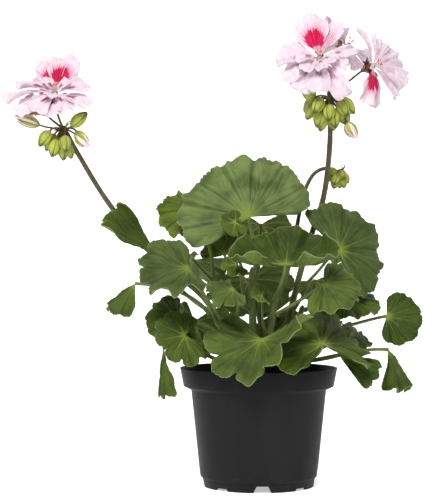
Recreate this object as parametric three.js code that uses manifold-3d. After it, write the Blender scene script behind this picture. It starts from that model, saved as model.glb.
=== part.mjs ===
// A zonal geranium in a black nursery pot. Millimetres, +Z up, the pot on the origin with its feet at Z = 0.
// The plant's front faces -Y. The pot, the soil, the stem and each leaf, flower stalk and bloom are solids of
// their own.
import * as THREE from "three";
import { mergeVertices } from "three/addons/utils/BufferGeometryUtils.js";
import Module from "manifold-3d";

const wasm = await Module();
wasm.setup();

// Driving dimensions of the pot.
const POT_HEIGHT = 90.5;
const RIM_RADIUS = 60.4;
const BAND_FOOT = 76.6;
const BAND_FOOT_RADIUS = 57.7;
const BODY_TOP = 73.9;
const BODY_TOP_RADIUS = 51.9;
const BODY_FOOT = 7.6;
const BODY_FOOT_RADIUS = 44.9;
const FOOT_RADIUS = 42.2;
const FOOT_WIDTH = 1.6;
const BOSS_RADIUS = 11;
const BOSS_FOOT = 0.6;
const WALL = 1.4;
const FLOOR_UNDERSIDE = 4.6;
const FLOOR_TOP = 6.2;
const POT_SIDES = 32;
const SOIL_SIDES = 24;
const POT_TURN = THREE.MathUtils.degToRad(2.3);
const NOTCH_FOOT = 13.6;
const NOTCH_TOP = 8.4;
const NOTCH_HEIGHT = 5;
const NOTCH_DEPTH = 8;
const RECESS_WIDTH = 12;
const RECESS_HEIGHT = 1.8;
const DRAIN_RADIUS = 4;
const DRAIN_REACH = 30;
// Driving dimensions of the soil and of the gaps between pieces.
const SOIL_TOP = 83.5;
const GAP = 0.3;
// Driving dimensions of the plant.
const LEAF_THICKNESS = 0.8;
const LEAF_SPANS_PER_LOBE = 4;
const PETIOLE_SIDES = 5;
const PETIOLE_STEPS = 5;
const PETAL_THICKNESS = 0.6;
const PETIOLE_FOOT_RADIUS = 1.9;
const PETIOLE_TOP_RADIUS = 1.3;
const PETIOLE_CLEARANCE = 0.32;
const PETIOLE_LEAVE = 0.28;
const STALK_START = 1.7;
const PETAL_START = 1.3;
const CROWN_RADIUS = 5.6;
const CROWN_FOOT = 58;
const CROWN_Y = 2;
const CROWN_CLEARANCE = 0.6;
const LARGE_LEAF = 43;
const FIRST_RING = 0.45;
const GOLDEN_ANGLE = THREE.MathUtils.degToRad(137.508);

const UP = new THREE.Vector3(0, 0, 1);
const LATHE_AXIS = new THREE.Vector3(0, 1, 0);
const vec = (p) => new THREE.Vector3(...p);
const turn = THREE.MathUtils.degToRad;

// Solids, joins and cuts.
function solid(geometry) {
  const bare = new THREE.BufferGeometry();
  bare.setAttribute("position", geometry.getAttribute("position"));
  bare.setIndex(geometry.index);
  const merged = mergeVertices(bare, 1e-4);
  return new wasm.Manifold(
    new wasm.Mesh({
      numProp: 3,
      vertProperties: merged.attributes.position.array,
      triVerts: new Uint32Array(merged.index.array),
    }),
  );
}

function join(solids) {
  return solids.reduce((sum, next) => sum.add(next));
}

function piece(name, shape, material) {
  const body = shape.getMesh();
  const geometry = new THREE.BufferGeometry();
  geometry.setAttribute("position", new THREE.BufferAttribute(body.vertProperties, 3));
  geometry.setIndex(new THREE.BufferAttribute(body.triVerts, 1));
  geometry.computeVertexNormals();
  const mesh = new THREE.Mesh(geometry, material);
  mesh.name = name;
  return mesh;
}

function closedGeometry(points, faces) {
  const geometry = new THREE.BufferGeometry();
  geometry.setAttribute("position", new THREE.Float32BufferAttribute(points.flatMap((p) => p.toArray()), 3));
  geometry.setIndex(faces);
  return geometry;
}

// A round bar along a curve, from radius(0) to radius(1), closed at both ends.
function bar(curve, radius, sides, steps) {
  const { normals, binormals } = curve.computeFrenetFrames(steps, false);
  const points = [];
  const faces = [];
  for (let i = 0; i <= steps; i++) {
    const centre = curve.getPointAt(i / steps);
    for (let k = 0; k < sides; k++) {
      const angle = (2 * Math.PI * k) / sides;
      points.push(
        centre
          .clone()
          .addScaledVector(normals[i], radius(i / steps) * Math.cos(angle))
          .addScaledVector(binormals[i], radius(i / steps) * Math.sin(angle)),
      );
    }
  }
  for (let i = 0; i < steps; i++) {
    for (let k = 0; k < sides; k++) {
      const [a, b] = [i * sides + k, i * sides + ((k + 1) % sides)];
      faces.push(a, b, a + sides, b, b + sides, a + sides);
    }
  }
  for (let k = 1; k < sides - 1; k++) {
    faces.push(0, k + 1, k);
    faces.push(steps * sides, steps * sides + k, steps * sides + k + 1);
  }
  return solid(closedGeometry(points, faces));
}

// A solid turned about the axis that starts at a point and runs along a direction: [radius, distance] pairs.
function turned(profile, sides, at, along) {
  const lathe = new THREE.LatheGeometry(profile.map(([r, y]) => new THREE.Vector2(r, y)), sides);
  const stand = new THREE.Quaternion().setFromUnitVectors(LATHE_AXIS, along.clone().normalize());
  lathe.applyMatrix4(new THREE.Matrix4().compose(at, stand, new THREE.Vector3(1, 1, 1)));
  return solid(lathe);
}

// The thin blade that both leaves and petals are: a fan about its hub, lobed, pleated, waved and bent.
const BLADE_DEFAULTS = {
  sweep: [-140, 140], // where the fan starts and ends, in degrees from the tip
  lobes: 7,
  notch: 0.1, // how deep the margin dips between two lobes, as a share of the radius
  corner: 0.3, // how much the fan's two ends are rounded off
  shoulder: 10, // how near to the ends the rounding keeps
  pleat: 0.05, // height of the radial pleats at the margin, as a share of the radius
  wave: 0.06, // height of the slow wave round the margin
  waves: 3,
  phase: 0,
  broad: 0.04, // how much further the sides reach than the tip
  curl: 0, // how far the tip and the back bend away from the face, in degrees per radius
  droop: 0, // how far the two sides bend away from the face
  arch: 0.12, // how far the petiole rises before it turns out, as a share of its length
};

// Across runs from -1 to 1 round the fan, and out from 0 at the hub to 1 at the margin.
function bladePoint(blade, across, out) {
  const [start, stop] = blade.sweep.map(turn);
  const angle = (start + stop) / 2 + ((stop - start) / 2) * across;
  const lobe = (((across + 1) / 2) * blade.lobes) % 1;
  const base = 1 - blade.broad + blade.broad * Math.sin(angle) ** 2;
  const dip = 1 - blade.notch * Math.abs(2 * lobe - 1) ** 2.2;
  const ends = 1 - blade.corner * Math.abs(across) ** blade.shoulder;
  const reach = blade.radius * out * base * dip * ends;
  const pleat = blade.pleat * Math.cos(2 * Math.PI * lobe);
  const wave = blade.wave * Math.cos(blade.waves * angle + blade.phase);
  const height = blade.radius * (pleat + wave) * out ** 1.6;
  return bend(blade, reach * Math.cos(angle), reach * Math.sin(angle), height);
}

// Rolls the flat blade over its two axes. A negative angle cups it.

function bend(blade, x, y, z) {
  const across = turn(blade.droop) / blade.radius || 1e-6;
  const depth = 1 / across + z;
  const side = depth * Math.sin(across * y);
  const height = depth * Math.cos(across * y) - 1 / across;
  const along = turn(blade.curl) / blade.radius || 1e-6;
  const lever = 1 / along + height;
  return new THREE.Vector3(lever * Math.sin(along * x), side, lever * Math.cos(along * x) - 1 / along);
}

// The frame of a blade: X along its tip, Z out of its upper face.
function bladeFrame(blade) {
  const tip = vec(blade.tip).normalize();
  const side = vec(blade.face).cross(tip).normalize();
  const face = tip.clone().cross(side);
  return new THREE.Matrix4().makeBasis(tip, side, face).setPosition(vec(blade.hub));
}

// The blade's middle sheet: the hub, a first ring with one span per lobe, and finer rings out to the margin.
function bladeSheet(blade, spansPerLobe, rings) {
  const points = [new THREE.Vector3()];
  const ringStart = [0];
  const spans = [0];
  for (let j = 1; j <= rings; j++) {
    ringStart.push(points.length);
    spans.push(blade.lobes * (j === 1 ? 1 : spansPerLobe));
    const out = FIRST_RING + ((1 - FIRST_RING) * (j - 1)) / (rings - 1);
    for (let i = 0; i <= spans[j]; i++) {
      points.push(bladePoint(blade, (2 * i) / spans[j] - 1, out));
    }
  }
  const at = (i, j) => ringStart[j] + (j === 0 ? 0 : i);
  const faces = [];
  for (let i = 0; i < spans[1]; i++) faces.push(0, at(i, 1), at(i + 1, 1));
  for (let j = 1; j < rings; j++) {
    const step = spans[j + 1] / spans[j];
    const half = Math.ceil(step / 2);
    for (let i = 0; i < spans[j]; i++) {
      for (let k = 0; k < step; k++) {
        faces.push(at(k < half ? i : i + 1, j), at(i * step + k, j + 1), at(i * step + k + 1, j + 1));
      }
      faces.push(at(i, j), at(i * step + half, j + 1), at(i + 1, j));
    }
  }
  const border = [0];
  for (let j = 1; j <= rings; j++) border.push(at(0, j));
  for (let i = 1; i <= spans[rings]; i++) border.push(at(i, rings));
  for (let j = rings - 1; j > 0; j--) border.push(at(spans[j], j));
  return { points, faces, border };
}

function bladeSolid(blade, thickness, spansPerLobe, rings) {
  const { points, faces, border } = bladeSheet(blade, spansPerLobe, rings);
  const sheet = closedGeometry(points, faces);
  sheet.computeVertexNormals();
  const normals = sheet.getAttribute("normal");
  const frame = bladeFrame(blade);
  const faced = (side) =>
    points.map((p, i) => {
      const normal = new THREE.Vector3().fromBufferAttribute(normals, i);
      return p.clone().addScaledVector(normal, (side * thickness) / 2).applyMatrix4(frame);
    });
  const under = points.length;
  const shell = [...faces];
  for (let k = 0; k < faces.length; k += 3) {
    shell.push(faces[k] + under, faces[k + 2] + under, faces[k + 1] + under);
  }
  border.forEach((a, k) => {
    const b = border[(k + 1) % border.length];
    shell.push(a, a + under, b, b, a + under, b + under);
  });
  return solid(closedGeometry([...faced(1), ...faced(-1)], shell));
}

// The stem: a crown in the soil, with five shoots. A shoot's radius falls along its length.
const SHOOTS = {
  crown: {
    path: [[0, CROWN_Y, CROWN_FOOT], [0, CROWN_Y, 74], [0, CROWN_Y, 92]],
    radius: [CROWN_RADIUS, CROWN_RADIUS],
  },
  middle: { path: [[0, CROWN_Y, 88], [-3, 4, 108], [-5, 5, 138], [-5, 6, 168]], radius: [4.2, 2] },
  front: { path: [[0, CROWN_Y, 88], [5, -4, 104], [10, -8, 126], [13, -10, 148]], radius: [4, 2] },
  left: { path: [[0, CROWN_Y, 88], [-14, 3, 100], [-27, 4, 116], [-36, 5, 138]], radius: [4, 2] },
  right: { path: [[0, CROWN_Y, 88], [13, 6, 100], [26, 9, 116], [35, 10, 138]], radius: [4, 2] },
  back: { path: [[0, CROWN_Y, 88], [2, 16, 100], [3, 28, 116], [2, 36, 138]], radius: [4, 2] },
};
const SHOOT_SIDES = 8;
const SHOOT_STEPS = 5;

function shootCurve(name) {
  return new THREE.CatmullRomCurve3(SHOOTS[name].path.map(vec));
}

function shootRadius(name, share) {
  const [foot, top] = SHOOTS[name].radius;
  return foot + (top - foot) * share;
}

function stem() {
  return join(
    Object.keys(SHOOTS).map((name) =>
      bar(shootCurve(name), (share) => shootRadius(name, share), SHOOT_SIDES, SHOOT_STEPS),
    ),
  );
}

// A point on a shoot's side, and the way out of it. Bearing is in degrees from +X towards +Y.
function onShoot(name, share, bearing) {
  const curve = shootCurve(name);
  const way = new THREE.Vector3(Math.cos(turn(bearing)), Math.sin(turn(bearing)), 0);
  const along = curve.getTangentAt(share);
  way.addScaledVector(along, -way.dot(along)).normalize();
  const foot = curve.getPointAt(share).addScaledVector(way, shootRadius(name, share));
  return { foot, way };
}

// The leaves. Each grows from a shoot: grows is [shoot, share of its length, bearing]. Its blade is set by
// where the petiole meets it (hub), where its middle lobe points (tip) and where its upper side looks (face).
const LEAVES = [
  {
    name: "leaf_top", grows: ["middle", 0.9, 50], hub: [-7.5, -4, 206], radius: 57,
    tip: [-0.08, 0.44, 0.9], face: [0, -0.88, 0.46],
    sweep: [-88, 124], lobes: 8, broad: 0, phase: 1.0, curl: 10, droop: 8,
  },
  {
    name: "leaf_right_high", grows: ["right", 0.95, 40], hub: [62.5, 12, 181], radius: 46,
    tip: [0.05, 0.46, 0.88], face: [0.4, -0.82, 0.42],
    sweep: [-166, 56], phase: 2.2, curl: 8, droop: 22,
  },
  {
    name: "leaf_left_high", grows: ["left", 0.97, 80], hub: [-48, 26, 212], radius: 34,
    tip: [-0.95, 0.1, 0.12], face: [0, -0.62, 0.78],
    sweep: [-110, 110], phase: 0.4, curl: 15, droop: 15,
  },
  {
    name: "leaf_far_left", grows: ["left", 0.95, 140], hub: [-78, 4, 178], radius: 53,
    tip: [-0.8, 0, 0.6], face: [0.35, -0.7, 0.6],
    sweep: [-22, 26], lobes: 3, phase: 0.9, curl: -6, droop: -110,
  },
  {
    name: "leaf_left", grows: ["left", 0.76, 262], hub: [-53, -33, 167], radius: 41,
    tip: [-0.93, -0.3, -0.1], face: [-0.08, -0.58, 0.8],
    sweep: [-108, 104], phase: 2.6, curl: 15, droop: -15,
  },
  {
    name: "leaf_left_small", grows: ["left", 0.9, 200], hub: [-95, 4, 155], radius: 32,
    tip: [-0.62, -0.1, -0.78], face: [-0.68, -0.5, 0.53],
    sweep: [-50, 50], lobes: 4, curl: -10, droop: 50, arch: 0.42,
  },
  {
    name: "leaf_left_low_back", grows: ["left", 0.55, 240], hub: [-61, -13, 130], radius: 28,
    tip: [-0.9, -0.1, -0.35], face: [-0.35, -0.8, 0.5],
    sweep: [-112, 112], phase: 1.3, curl: 15, droop: 15,
  },
  {
    name: "leaf_left_low", grows: ["left", 0.35, 265], hub: [-56, -39, 117], radius: 25,
    tip: [-0.85, -0.5, -0.1], face: [-0.45, -0.85, 0.25],
    sweep: [-150, 150], phase: 0.2, curl: 15, droop: 20, arch: 0.04,
  },
  {
    name: "leaf_left_hanging", grows: ["left", 0.12, 215], hub: [-72, -38, 107.5], radius: 40,
    tip: [0, -0.1, -1], face: [-0.85, -0.5, 0],
    sweep: [-25, 25], lobes: 3, curl: 8, droop: 80, arch: 0.03,
  },
  {
    name: "leaf_front_small", grows: ["left", 0.5, 285], hub: [-20, -44, 152], radius: 22,
    tip: [-0.93, -0.3, -0.2], face: [-0.15, -0.55, 0.82],
    sweep: [-105, 105], phase: 1.7, curl: 15, droop: 15, arch: 0.25,
  },
  {
    name: "leaf_front", grows: ["front", 0.08, 260], hub: [1, -47, 115], radius: 45,
    tip: [-0.35, -0.75, -0.56], face: [-0.38, -0.55, 0.75],
    sweep: [-130, 132], wave: 0.13, waves: 2, phase: -2.6, curl: 12, droop: -30,
  },
  {
    name: "leaf_front_right", grows: ["front", 0.18, 310], hub: [46, -43, 111], radius: 43,
    tip: [-0.1, 0.8, 0.6], face: [0.1, -0.55, 0.8],
    sweep: [-134, 150], wave: 0.08, phase: 0.4, curl: 14, droop: 38,
  },
  {
    name: "leaf_right_drape", grows: ["right", 0.1, 310], hub: [60, -27, 101.7], radius: 36,
    tip: [0.88, -0.2, -0.42], face: [0.15, -0.8, 0.6],
    sweep: [-34, 32], lobes: 3, phase: 1.4, curl: 12, droop: 20,
  },
  {
    name: "leaf_right_low", grows: ["right", 0.2, 330], hub: [100, 3, 104], radius: 37,
    tip: [0.44, -0.1, -0.9], face: [0.75, -0.45, 0.5],
    sweep: [-50, 50], lobes: 5, pleat: 0.12, phase: 1.1, droop: 80, arch: 0.05,
  },
  {
    name: "leaf_right_round", grows: ["right", 0.62, 340], hub: [99.5, 10, 129.5], radius: 30,
    tip: [0.97, -0.05, -0.17], face: [0.1, -0.97, 0.2],
    sweep: [-98, 98], corner: 0.5, shoulder: 2.4, phase: 0.8, curl: 10, droop: 20,
  },
  {
    name: "leaf_right_behind", grows: ["right", 0.7, 20], hub: [70, 16, 144], radius: 29,
    tip: [0.95, 0.1, -0.05], face: [0, -0.45, 0.9],
    phase: 2.3, curl: 20, droop: 10,
  },
  {
    name: "leaf_right", grows: ["front", 0.75, 300], hub: [47, -38, 156], radius: 32,
    tip: [0.92, -0.25, -0.26], face: [0.15, -0.62, 0.77],
    sweep: [-105, 105], phase: 1.9, curl: 20, droop: 15,
  },
  {
    name: "leaf_centre", grows: ["front", 0.93, 270], hub: [19, -34, 170], radius: 44,
    tip: [0.1, 0.93, 0.35], face: [-0.05, -0.34, 0.94],
    sweep: [-156, 150], wave: 0.15, waves: 5, phase: 0.3, curl: -52, droop: -50,
  },
  {
    name: "leaf_young_top", grows: ["middle", 0.93, 200], hub: [-18, -20, 202], radius: 13,
    tip: [-0.9, -0.3, -0.2], face: [-0.1, -0.8, 0.55],
    lobes: 5, phase: 0.5, curl: 10, droop: 10,
  },
  {
    name: "leaf_young_left", grows: ["middle", 0.6, 230], hub: [-17, -19, 170], radius: 13,
    tip: [-0.95, -0.2, -0.1], face: [-0.1, -0.7, 0.7],
    lobes: 5, phase: 1.5, curl: 10, droop: 10,
  },
  {
    name: "leaf_young_low", grows: ["front", 0.5, 240], hub: [2, -26, 146], radius: 10,
    tip: [-0.8, -0.5, 0.2], face: [-0.1, -0.8, 0.6],
    lobes: 5, phase: 2.5, curl: 10, droop: -40,
  },
  {
    name: "leaf_back_top", grows: ["middle", 0.85, 125], hub: [-26, 33, 177], radius: 21,
    tip: [-0.1, 0.35, 0.93], face: [-0.1, -0.9, 0.35],
    sweep: [-98, 98], lobes: 5, phase: 0.7, curl: 20, droop: 15,
  },
  {
    name: "leaf_back_left", grows: ["back", 0.9, 170], hub: [-51, 56, 173], radius: 38,
    tip: [-0.75, 0.5, -0.3], face: [-0.2, 0.45, 0.87],
    sweep: [-140, 140], phase: 1.6, curl: 30, droop: 20,
  },
  {
    name: "leaf_back_right", grows: ["back", 0.85, 36], hub: [66, 58, 186], radius: 30,
    tip: [0.6, 0.7, -0.3], face: [0.2, 0.4, 0.9],
    sweep: [-130, 130], phase: 2.4, curl: 30, droop: 25,
  },
  {
    name: "leaf_back_middle", grows: ["back", 0.7, 90], hub: [-6, 54, 158], radius: 38,
    tip: [0.05, 0.62, -0.78], face: [0, 0.78, 0.62],
    sweep: [-140, 108], phase: 0.2, curl: 30, droop: 20,
  },
  {
    name: "leaf_back_low_left", grows: ["back", 0.35, 170], hub: [-50, 48, 124], radius: 33,
    tip: [-0.35, 0.32, -0.88], face: [-0.3, 0.8, 0.52],
    phase: 1.1, curl: 25, droop: 20,
  },
  {
    name: "leaf_back_low", grows: ["back", 0.3, 90], hub: [-4, 46, 120], radius: 29,
    tip: [-0.05, 0.25, -0.97], face: [0, 0.96, 0.26],
    sweep: [-125, 125], phase: 2.0, curl: 10, droop: 20,
  },
  {
    name: "leaf_back_low_right", grows: ["back", 0.4, 10], hub: [42, 47, 126], radius: 28,
    tip: [0.35, 0.32, -0.88], face: [0.25, 0.8, 0.52],
    phase: 2.8, curl: 25, droop: 20,
  },
  {
    name: "leaf_right_back_low", grows: ["right", 0.3, 20], hub: [73, 21, 115.5], radius: 19.5,
    tip: [0.85, -0.1, -0.45], face: [0.35, -0.35, 0.87],
    phase: 0.3, curl: 15, droop: 10,
  },
  {
    name: "leaf_right_shade", grows: ["back", 0.5, -14], hub: [46, 47, 156.5], radius: 18,
    tip: [0.3, 0.35, -0.88], face: [0.1, 0.85, 0.5],
    sweep: [-100, 100], lobes: 5, phase: 0.9, curl: 20, droop: 20,
  },
  {
    name: "leaf_back_high", grows: ["middle", 0.8, 90], hub: [3, 53, 201], radius: 28,
    tip: [-0.1, 0.8, -0.58], face: [-0.05, 0.58, 0.81],
    phase: 0.4, curl: 30, droop: 25,
  },
];

function leaf(blade) {
  const [shoot, share, bearing] = blade.grows;
  const { foot, way } = onShoot(shoot, share, bearing);
  const slim = Math.min(1, 0.55 + blade.radius / 80);
  const leave = way.clone().multiplyScalar(PETIOLE_LEAVE).addScaledVector(UP, blade.arch);
  const slant = Math.sin(leave.angleTo(way));
  foot.addScaledVector(way, PETIOLE_CLEARANCE + slim * PETIOLE_FOOT_RADIUS * slant);
  const hub = vec(blade.hub);
  const [tip, , face] = [0, 1, 2].map((k) => new THREE.Vector3().setFromMatrixColumn(bladeFrame(blade), k));
  const reach = hub.distanceTo(foot);
  const arrive = face.multiplyScalar(0.75).addScaledVector(tip, 0.45).normalize();
  const curve = new THREE.CubicBezierCurve3(
    foot,
    foot.clone().addScaledVector(leave, reach),
    hub.clone().addScaledVector(arrive, -reach * 0.3),
    hub.clone().addScaledVector(arrive, 0.2),
  );
  const radius = (s) => slim * (PETIOLE_FOOT_RADIUS + (PETIOLE_TOP_RADIUS - PETIOLE_FOOT_RADIUS) * s);
  const large = blade.radius > LARGE_LEAF;
  const bladeBody = bladeSolid(blade, LEAF_THICKNESS, LEAF_SPANS_PER_LOBE, large ? 3 : 2);
  return bladeBody.add(bar(curve, radius, PETIOLE_SIDES, PETIOLE_STEPS));
}

// The pot, turned in one piece, with its drain notches and holes cut out.
function potProfile() {
  return [
    [0, BOSS_FOOT],
    [BOSS_RADIUS, BOSS_FOOT],
    [BOSS_RADIUS + 1, FLOOR_UNDERSIDE],
    [FOOT_RADIUS - FOOT_WIDTH - 0.4, FLOOR_UNDERSIDE],
    [FOOT_RADIUS - FOOT_WIDTH, 0],
    [FOOT_RADIUS, 0],
    [FOOT_RADIUS + 1, BODY_FOOT - 1],
    [BODY_FOOT_RADIUS, BODY_FOOT],
    [BODY_TOP_RADIUS, BODY_TOP],
    [BAND_FOOT_RADIUS, BAND_FOOT],
    [RIM_RADIUS, POT_HEIGHT],
    [RIM_RADIUS - WALL, POT_HEIGHT],
    [BAND_FOOT_RADIUS - WALL, BAND_FOOT + 1],
    [BODY_TOP_RADIUS - WALL, BODY_TOP + 1],
    [BODY_FOOT_RADIUS - WALL, BODY_FOOT],
    [BODY_FOOT_RADIUS - WALL - 1, FLOOR_TOP],
    [0, FLOOR_TOP],
  ];
}

function notchCutter(halfFoot, halfTop, height, bearing) {
  const outline = new THREE.Shape([
    new THREE.Vector2(-halfFoot, -2),
    new THREE.Vector2(halfFoot, -2),
    new THREE.Vector2(halfFoot, 0),
    new THREE.Vector2(halfTop, height),
    new THREE.Vector2(-halfTop, height),
    new THREE.Vector2(-halfFoot, 0),
  ]);
  const cutter = new THREE.ExtrudeGeometry(outline, { depth: NOTCH_DEPTH, bevelEnabled: false });
  cutter.rotateX(Math.PI / 2);
  cutter.translate(0, NOTCH_DEPTH / 2 - FOOT_RADIUS, 0);
  cutter.rotateZ(bearing);
  return solid(cutter);
}

function drainCutter(bearing) {
  const hole = new THREE.CylinderGeometry(DRAIN_RADIUS, DRAIN_RADIUS, FLOOR_TOP, 10).rotateX(Math.PI / 2);
  hole.translate(DRAIN_REACH * Math.cos(bearing), DRAIN_REACH * Math.sin(bearing), FLOOR_TOP);
  return solid(hole);
}

function pot() {
  let body = turned(potProfile(), POT_SIDES, new THREE.Vector3(), UP);
  for (let quarter = 0; quarter < 4; quarter++) {
    const bearing = POT_TURN + (quarter * Math.PI) / 2;
    const between = bearing + Math.PI / 4;
    body = body.subtract(notchCutter(NOTCH_FOOT / 2, NOTCH_TOP / 2, NOTCH_HEIGHT, bearing));
    body = body.subtract(notchCutter(RECESS_WIDTH / 2, RECESS_WIDTH / 2 - 1, RECESS_HEIGHT, between));
    body = body.subtract(drainCutter(bearing));
  }
  return body;
}

function soil() {
  const inside = WALL + GAP + 0.2;
  const heap = turned(
    [
      [0, FLOOR_TOP + GAP],
      [BODY_FOOT_RADIUS - inside - 1.4, FLOOR_TOP + GAP],
      [BODY_FOOT_RADIUS - inside - 0.2, BODY_FOOT + GAP],
      [BODY_TOP_RADIUS - inside, BODY_TOP + 1.4],
      [BAND_FOOT_RADIUS - inside - 1, BAND_FOOT + 2.4],
      [BAND_FOOT_RADIUS - inside, SOIL_TOP - 2.5],
      [36, SOIL_TOP - 0.5],
      [16, SOIL_TOP + 0.8],
      [0, SOIL_TOP + 1.2],
    ],
    SOIL_SIDES,
    new THREE.Vector3(),
    UP,
  );
  const depth = SOIL_TOP - CROWN_FOOT + 10;
  const holeRadius = CROWN_RADIUS + CROWN_CLEARANCE;
  const hole = new THREE.CylinderGeometry(holeRadius, holeRadius, depth, 12).rotateX(Math.PI / 2);
  hole.translate(0, CROWN_Y, CROWN_FOOT - CROWN_CLEARANCE + depth / 2);
  return heap.subtract(solid(hole));
}

// A bud: a pointed green egg on its own bent stalk.
function bud(from, through, to, length, fat) {
  const stalk = new THREE.QuadraticBezierCurve3(from, through, to);
  const outline = [
    [0, -0.6],
    [fat * 0.8, length * 0.2],
    [fat, length * 0.5],
    [0, length],
  ];
  return turned(outline, 5, to, stalk.getTangentAt(1)).add(bar(stalk, () => 0.85, 3, 2));
}

// A bud that stands away from the others, from its base to its tip.
function strayBud(centre, [base, tip], fat) {
  const along = vec(tip).sub(vec(base));
  const length = along.length();
  along.normalize();
  const through = vec(base).addScaledVector(along, -0.4 * centre.distanceTo(vec(base)));
  const from = through.clone().sub(centre).setLength(STALK_START).add(centre);
  return bud(from, through, vec(base), length, fat);
}

// A floret's calyx on its stalk, ending just behind the petals.
function calyx(from, floret) {
  const axis = vec(floret.faces).normalize();
  const throat = vec(floret.centre).addScaledVector(axis, -1.2);
  const foot = throat.clone().addScaledVector(axis, -9);
  const bow = from.clone().lerp(foot, 0.55).addScaledVector(axis, -4);
  const root = from.clone().addScaledVector(bow.clone().sub(from).normalize(), STALK_START);
  const stalk = new THREE.QuadraticBezierCurve3(root, bow, foot);
  const outline = [
    [0, -0.8],
    [1.1, -0.4],
    [1.9, 4],
    [3, 8.6],
    [0, 9],
  ];
  return turned(outline, 5, foot, axis).add(bar(stalk, () => 0.95, 3, 3));
}

// A flower stalk starts beside a shoot. Its buds hang round the head in a spiral, the lowest first.
function head(spec) {
  const centre = vec(spec.centre);
  const [footRadius, topRadius] = spec.radius;
  const { foot, way } = onShoot(...spec.grows);
  foot.addScaledVector(way, PETIOLE_CLEARANCE + footRadius);
  const path = new THREE.CatmullRomCurve3([foot, ...spec.path.map(vec)]);
  const knot = [
    [0, -2.6],
    [2.6, -1.2],
    [3.2, 0.8],
    [0, 3],
  ];
  const parts = [
    bar(path, (s) => footRadius + (topRadius - footRadius) * s, 6, spec.steps),
    turned(knot, 6, centre, path.getTangentAt(1)),
  ];
  for (let k = 0; k < spec.buds; k++) {
    const around = turn(spec.start) + k * GOLDEN_ANGLE;
    const fall = turn(spec.fall[0] + ((spec.fall[1] - spec.fall[0]) * (k + 0.5)) / spec.buds);
    const out = new THREE.Vector3(
      Math.cos(around) * Math.cos(fall),
      Math.sin(around) * Math.cos(fall),
      Math.sin(fall),
    );
    out.add(vec(spec.lean)).normalize();
    const reach = spec.reach[0] + (spec.reach[1] - spec.reach[0]) * ((k * 0.618) % 1);
    const to = centre.clone().addScaledVector(out, reach);
    const from = centre.clone().addScaledVector(out, STALK_START);
    const through = centre.clone().addScaledVector(out, reach * 0.72).addScaledVector(UP, reach * 0.34);
    parts.push(bud(from, through, to, spec.budLength, spec.budRadius));
  }
  spec.strays.forEach((stray) => parts.push(strayBud(centre, stray, spec.budRadius)));
  spec.florets.forEach((floret) => parts.push(calyx(centre, floret)));
  return join(parts);
}

// The petals of the florets. Around is measured from the floret's up, open from its axis, long is a share of
// the floret's size, half is half the fan, and lift is how far up the throat the petal sits. The first two are
// the upper petals.
const petals = (rows) => rows.map(([around, open, long, half, lift]) => ({ around, open, long, half, lift }));
const PETALS = {
  left_front: petals([
    [-9, 58, 1.1, 25, 0.5],
    [15, 61, 1.08, 24, 0],
    [64, 72, 0.95, 17, 0.3],
    [92, 82, 1.1, 15, 1],
    [118, 92, 0.92, 20, 0],
    [150, 84, 0.72, 25, 0.9],
    [-178, 86, 0.68, 25, 0.35],
    [-148, 84, 0.68, 23, 1],
    [-108, 80, 0.84, 27, 0.1],
    [-74, 66, 0.8, 22, 0.8],
    [40, 46, 0.42, 26, 1.4],
    [-48, 44, 0.4, 26, 1.4],
    [172, 55, 0.44, 26, 1.7],
  ]),
  left_back: petals([
    [24, 58, 1.1, 33, 0.5],
    [-26, 62, 1.12, 33, 0],
    [-78, 76, 0.84, 31, 0.6],
    [-128, 90, 0.86, 29, 0.1],
    [178, 84, 0.8, 30, 0.3],
    [60, 44, 0.5, 30, 1.2],
    [-155, 42, 0.46, 30, 1.2],
  ]),
  right_front: petals([
    [13, 58, 0.95, 30, 0.5],
    [-25, 62, 0.88, 23, 0],
    [78, 78, 0.94, 28, 0.1],
    [112, 86, 0.86, 26, 0.8],
    [146, 90, 0.84, 27, 0.2],
    [178, 84, 0.8, 25, 0.8],
    [-148, 92, 1.04, 16, 0],
    [-112, 80, 0.62, 20, 0.7],
    [-82, 74, 0.8, 15, 0.3],
    [96, 56, 0.5, 26, 1.4],
    [142, 60, 0.54, 26, 1.6],
    [-168, 54, 0.48, 26, 1.4],
    [-120, 56, 0.46, 24, 1.6],
  ]),
  right_back: petals([
    [-14, 84, 1.08, 27, 0.4],
    [26, 78, 1, 25, 0],
    [-64, 80, 0.9, 27, 0.1],
    [-112, 80, 0.85, 27, 0.5],
    [-158, 78, 0.8, 25, 0],
    [165, 70, 0.7, 20, 0.5],
  ]),
  right_side: petals([
    [-8, 84, 1.05, 26, 0.5],
    [16, 92, 0.95, 22, 0],
    [46, 66, 0.96, 22, 0.3],
    [82, 60, 1, 24, 0.8],
    [120, 64, 0.98, 24, 0.1],
    [157, 72, 0.95, 17, 0.8],
    [-166, 76, 1, 13, 0.2],
    [-110, 58, 0.5, 22, 0.9],
    [-60, 50, 0.42, 20, 1.2],
  ]),
};

function petalBlade(floret, petal, order) {
  const axis = vec(floret.faces).normalize();
  const up = vec(floret.up);
  up.addScaledVector(axis, -up.dot(axis)).normalize();
  const out = up.applyAxisAngle(axis, turn(petal.around));
  const [cos, sin] = [Math.cos(turn(petal.open)), Math.sin(turn(petal.open))];
  return {
    ...BLADE_DEFAULTS,
    hub: vec(floret.centre).addScaledVector(axis, petal.lift).addScaledVector(out, PETAL_START).toArray(),
    tip: axis.clone().multiplyScalar(cos).addScaledVector(out, sin).toArray(),
    face: axis.clone().multiplyScalar(sin).addScaledVector(out, -cos).toArray(),
    radius: floret.size * petal.long,
    sweep: [-petal.half, petal.half],
    lobes: 2,
    notch: 0.06,
    corner: 0.34,
    shoulder: 3,
    pleat: 0.03,
    wave: 0.06,
    waves: 5,
    phase: 1.7 * order,
    curl: 30,
    droop: -14,
    broad: -0.12,
  };
}

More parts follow.
